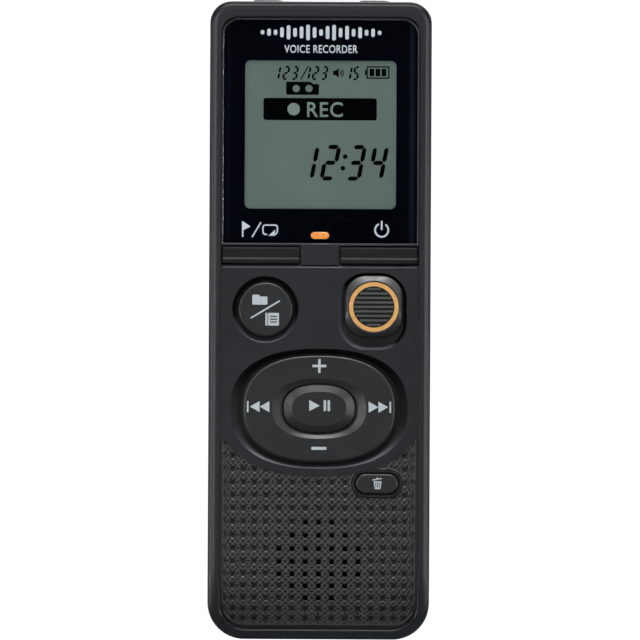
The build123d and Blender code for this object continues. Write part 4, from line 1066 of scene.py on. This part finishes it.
# ---------------------------------------------------------------- contacts in the sockets
def contact(name, x_range, y_range, z_range, bevel):
    """Gold bar with bevelled edges."""
    bm = bmesh.new()
    corners = [bm.verts.new((x * MM, y * MM, z * MM))
               for x in x_range for y in y_range for z in z_range]
    for face in ((0, 1, 3, 2), (4, 6, 7, 5), (0, 4, 5, 1), (2, 3, 7, 6), (0, 2, 6, 4),
                 (1, 5, 7, 3)):
        bm.faces.new([corners[i] for i in face])
    bmesh.ops.recalc_face_normals(bm, faces=bm.faces)
    bmesh.ops.bevel(bm, geom=list(bm.edges), offset=bevel * MM, segments=2, affect="EDGES")
    mesh = bpy.data.meshes.new(name)
    bm.to_mesh(mesh)
    bm.free()
    place(name, mesh, GOLD, "case", "steel")


for jack in ("ear_jack", "mic_jack"):
    jack_x, jack_y, _ = centre(jack)
    # letter, nearer and farther x from the jack's middle, top
    for letter, x0, x1, contact_top in (("a", -1.85, -1.45, 104.5), ("b", 1.45, 1.85, 102.5)):
        contact(f"{jack}_contact_{letter}", (jack_x + x0, jack_x + x1),
                (jack_y - 0.5, jack_y + 0.5), (97.0, contact_top), bevel=0.1)

USB_Z, USB_PITCH, USB_HALF_PIN = 88.0, 0.65, 0.14
for i in range(5):
    pin_z = USB_Z + (i - 2) * USB_PITCH
    contact(f"usb_contact_{i}", (-17.2, -14.2), (-2.68, -2.585),
            (pin_z - USB_HALF_PIN, pin_z + USB_HALF_PIN), bevel=0.02)


# ---------------------------------------------------------------- legs of the two chips
LEGS_PER_SIDE = 10
LEG_MARGIN = 0.6                      # from the chip's end to the middle of the first leg
LEG_HALF_WIDTH, LEG_THICKNESS = 0.12, 0.06


def chip_legs(node, name):
    low, high = span(node)
    pitch_span = high[2] - low[2] - 2 * LEG_MARGIN
    shoulder_y, foot_y = high[1] - 0.45, low[1] + 0.06
    # distance out from the chip's side, y
    profile = ((-0.05, shoulder_y), (0.18, shoulder_y), (0.3, foot_y), (0.6, foot_y))
    verts, faces = [], []
    for side_x, side in ((low[0], -1), (high[0], 1)):
        for i in range(LEGS_PER_SIDE):
            z = low[2] + LEG_MARGIN + pitch_span * i / (LEGS_PER_SIDE - 1)
            start = len(verts)
            for out, y in profile:
                x = side_x + side * out
                for dz in (-LEG_HALF_WIDTH, LEG_HALF_WIDTH):
                    verts += [(x, y, z + dz), (x, y - LEG_THICKNESS, z + dz)]
            for q in range(len(profile) - 1):
                a = start + q * 4
                faces += [(a, a + 4, a + 6, a + 2), (a + 1, a + 3, a + 7, a + 5),
                          (a, a + 1, a + 5, a + 4), (a + 2, a + 6, a + 7, a + 3)]
            faces += [(start, start + 2, start + 3, start + 1),
                      (start + 12, start + 13, start + 15, start + 14)]
    new_object(name, verts, faces, STEEL, "case", "steel")


chip_legs("cpu_chip", "cpu_legs")
chip_legs("memory_chip", "memory_legs")


# ---------------------------------------------------------------- stage
def studio_white():
    """White that also glows, but only as the camera sees it."""
    mat = Material("studio_white", scale=10.0)
    base = mat.two_tone(mat.noise(scale=0.6, detail=2.0), grey(0.86), grey(0.88))
    diffuse = mat.node("BsdfDiffuse", {"Color": base}).outputs[0]
    glow = mat.node("Emission", {"Color": grey(1.0), "Strength": 0.95}).outputs[0]
    dark = mat.node("Emission", {"Strength": 0.0}).outputs[0]
    seen = mat.node("LightPath").outputs["Is Camera Ray"]
    glow = mat.mix_shader(seen, dark, glow)
    return mat.finish(mat.node("AddShader", {0: diffuse, 1: glow}).outputs[0])


def build_sweep():
    """Floor that curves up into the backdrop behind, one sheet, in metres."""
    floor_z = -0.095                  # leaves room below for the battery cover slid right off
    front_y, bend_y, bend_radius, top_z, half_width = -8.0, 5.2, 0.8, 8.0, 9.0
    profile = [(front_y, floor_z), (bend_y, floor_z)]
    for i in range(1, 17):
        a = math.radians(90 * i / 16)
        profile.append((bend_y + bend_radius * math.sin(a),
                        floor_z + bend_radius - bend_radius * math.cos(a)))
    profile.append((bend_y + bend_radius, top_z))
    verts = [(x, y, z) for y, z in profile for x in (-half_width, half_width)]
    faces = [(2 * i, 2 * i + 1, 2 * i + 3, 2 * i + 2) for i in range(len(profile) - 1)]
    mesh = bpy.data.meshes.new("studio_sweep")
    mesh.from_pydata(verts, [], faces)
    mesh.polygons.foreach_set("use_smooth", [True] * len(faces))
    mesh.update()
    mesh.materials.append(studio_white())
    obj = link_object("studio_sweep", mesh)
    obj.visible_glossy = False        # keeps the floor out of reflections


def build_world():
    """White to the camera, dim blue in reflections, weak fill for the rest."""
    world = Graph(bpy.data.worlds.new("studio"), "ShaderNodeOutputWorld")
    ray = world.node("LightPath").outputs

    def background(colour, strength):
        return world.node("Background", {"Color": colour, "Strength": strength}).outputs[0]

    fill = background((0.93, 0.96, 1.0), strength=0.12)
    reflected = background((0.45, 0.7, 1.0), strength=0.035)
    seen = background((1.0, 1.0, 1.0), strength=1.0)
    unseen = world.mix_shader(ray["Is Glossy Ray"], fill, reflected)
    bpy.context.scene.world = world.finish(
        world.mix_shader(ray["Is Camera Ray"], unseen, seen))


# area lights aimed at the middle of the case:
# name, place (m), width and height (m), power (W), seen in gloss, lights diffusely
LIGHTS = (
    ("top_box", (0.05, -0.22, 0.80), (0.85, 0.24), 6.0, False, True),
    ("top_back", (0.06, 0.20, 0.80), (0.85, 0.30), 2.2, True, True),
    ("top_gloss", (0.03, -0.30, 0.78), (0.80, 0.14), 15.0, True, False),
    ("front_high", (-0.10, -0.80, 0.62), (0.5, 0.3), 2.7, False, True),
    ("front_card", (0.0, -0.75, 0.33), (0.5, 0.26), 0.45, True, False),
    ("left_strip", (-0.60, -0.04, -0.01), (0.14, 0.22), 2.2, True, True),
    ("right_strip", (0.60, -0.04, -0.01), (0.14, 0.22), 1.9, True, True),
    ("right_crest", (0.54, -0.58, 0.16), (0.12, 0.5), 3.0, True, False),
    ("left_crest", (-0.44, -0.68, 0.16), (0.08, 0.5), 3.4, True, False),
    ("back_fill", (0.15, 0.8, 0.6), (0.6, 0.5), 5.6, True, True),
    ("right_fill", (0.70, 0.22, 0.16), (0.3, 0.4), 1.2, False, True),
    ("left_fill", (-0.70, 0.22, 0.16), (0.3, 0.4), 1.2, False, True),
)


def build_lights():
    target = Vector((0, 0, (case_low[2] + case_high[2]) / 2 * MM))
    for name, location, size, power, glossy, diffuse in LIGHTS:
        light = bpy.data.lights.new(name, "AREA")
        light.shape = "RECTANGLE"
        light.size, light.size_y = size
        light.energy = power
        obj = link_object(name, light)
        obj.location = location
        obj.visible_glossy = glossy
        obj.visible_diffuse = diffuse
        obj.rotation_mode = "QUATERNION"
        obj.rotation_quaternion = (target - Vector(location)).to_track_quat("-Z", "Y")


def build_camera():
    """Long lens straight at the front, rolled slightly."""
    lens, sensor_width = 700.0, 36.0
    view_width = 108.291032           # shown across the picture at the plane of the front
    view_plane_y = -7.2
    distance = lens / sensor_width * view_width
    data = bpy.data.cameras.new("camera")
    camera = link_object("camera", data)
    data.lens = lens
    data.sensor_width = sensor_width
    data.clip_start, data.clip_end = 0.01, 20.0
    camera.location = (0.065 * MM, (view_plane_y - distance) * MM, 54.1 * MM)
    camera.rotation_mode = "QUATERNION"
    look = Vector((0, 1, 0)).to_track_quat("-Z", "Y")
    roll = Matrix.Rotation(math.radians(-0.290), 4, "Y").to_quaternion()
    camera.rotation_quaternion = roll @ look
    bpy.context.scene.camera = camera


build_sweep()
build_world()
build_lights()
build_camera()

view = bpy.context.scene.view_settings
view.view_transform = "Standard"
view.look = "None"
view.exposure = 0.0
view.gamma = 1.0

bpy.context.view_layer.update()
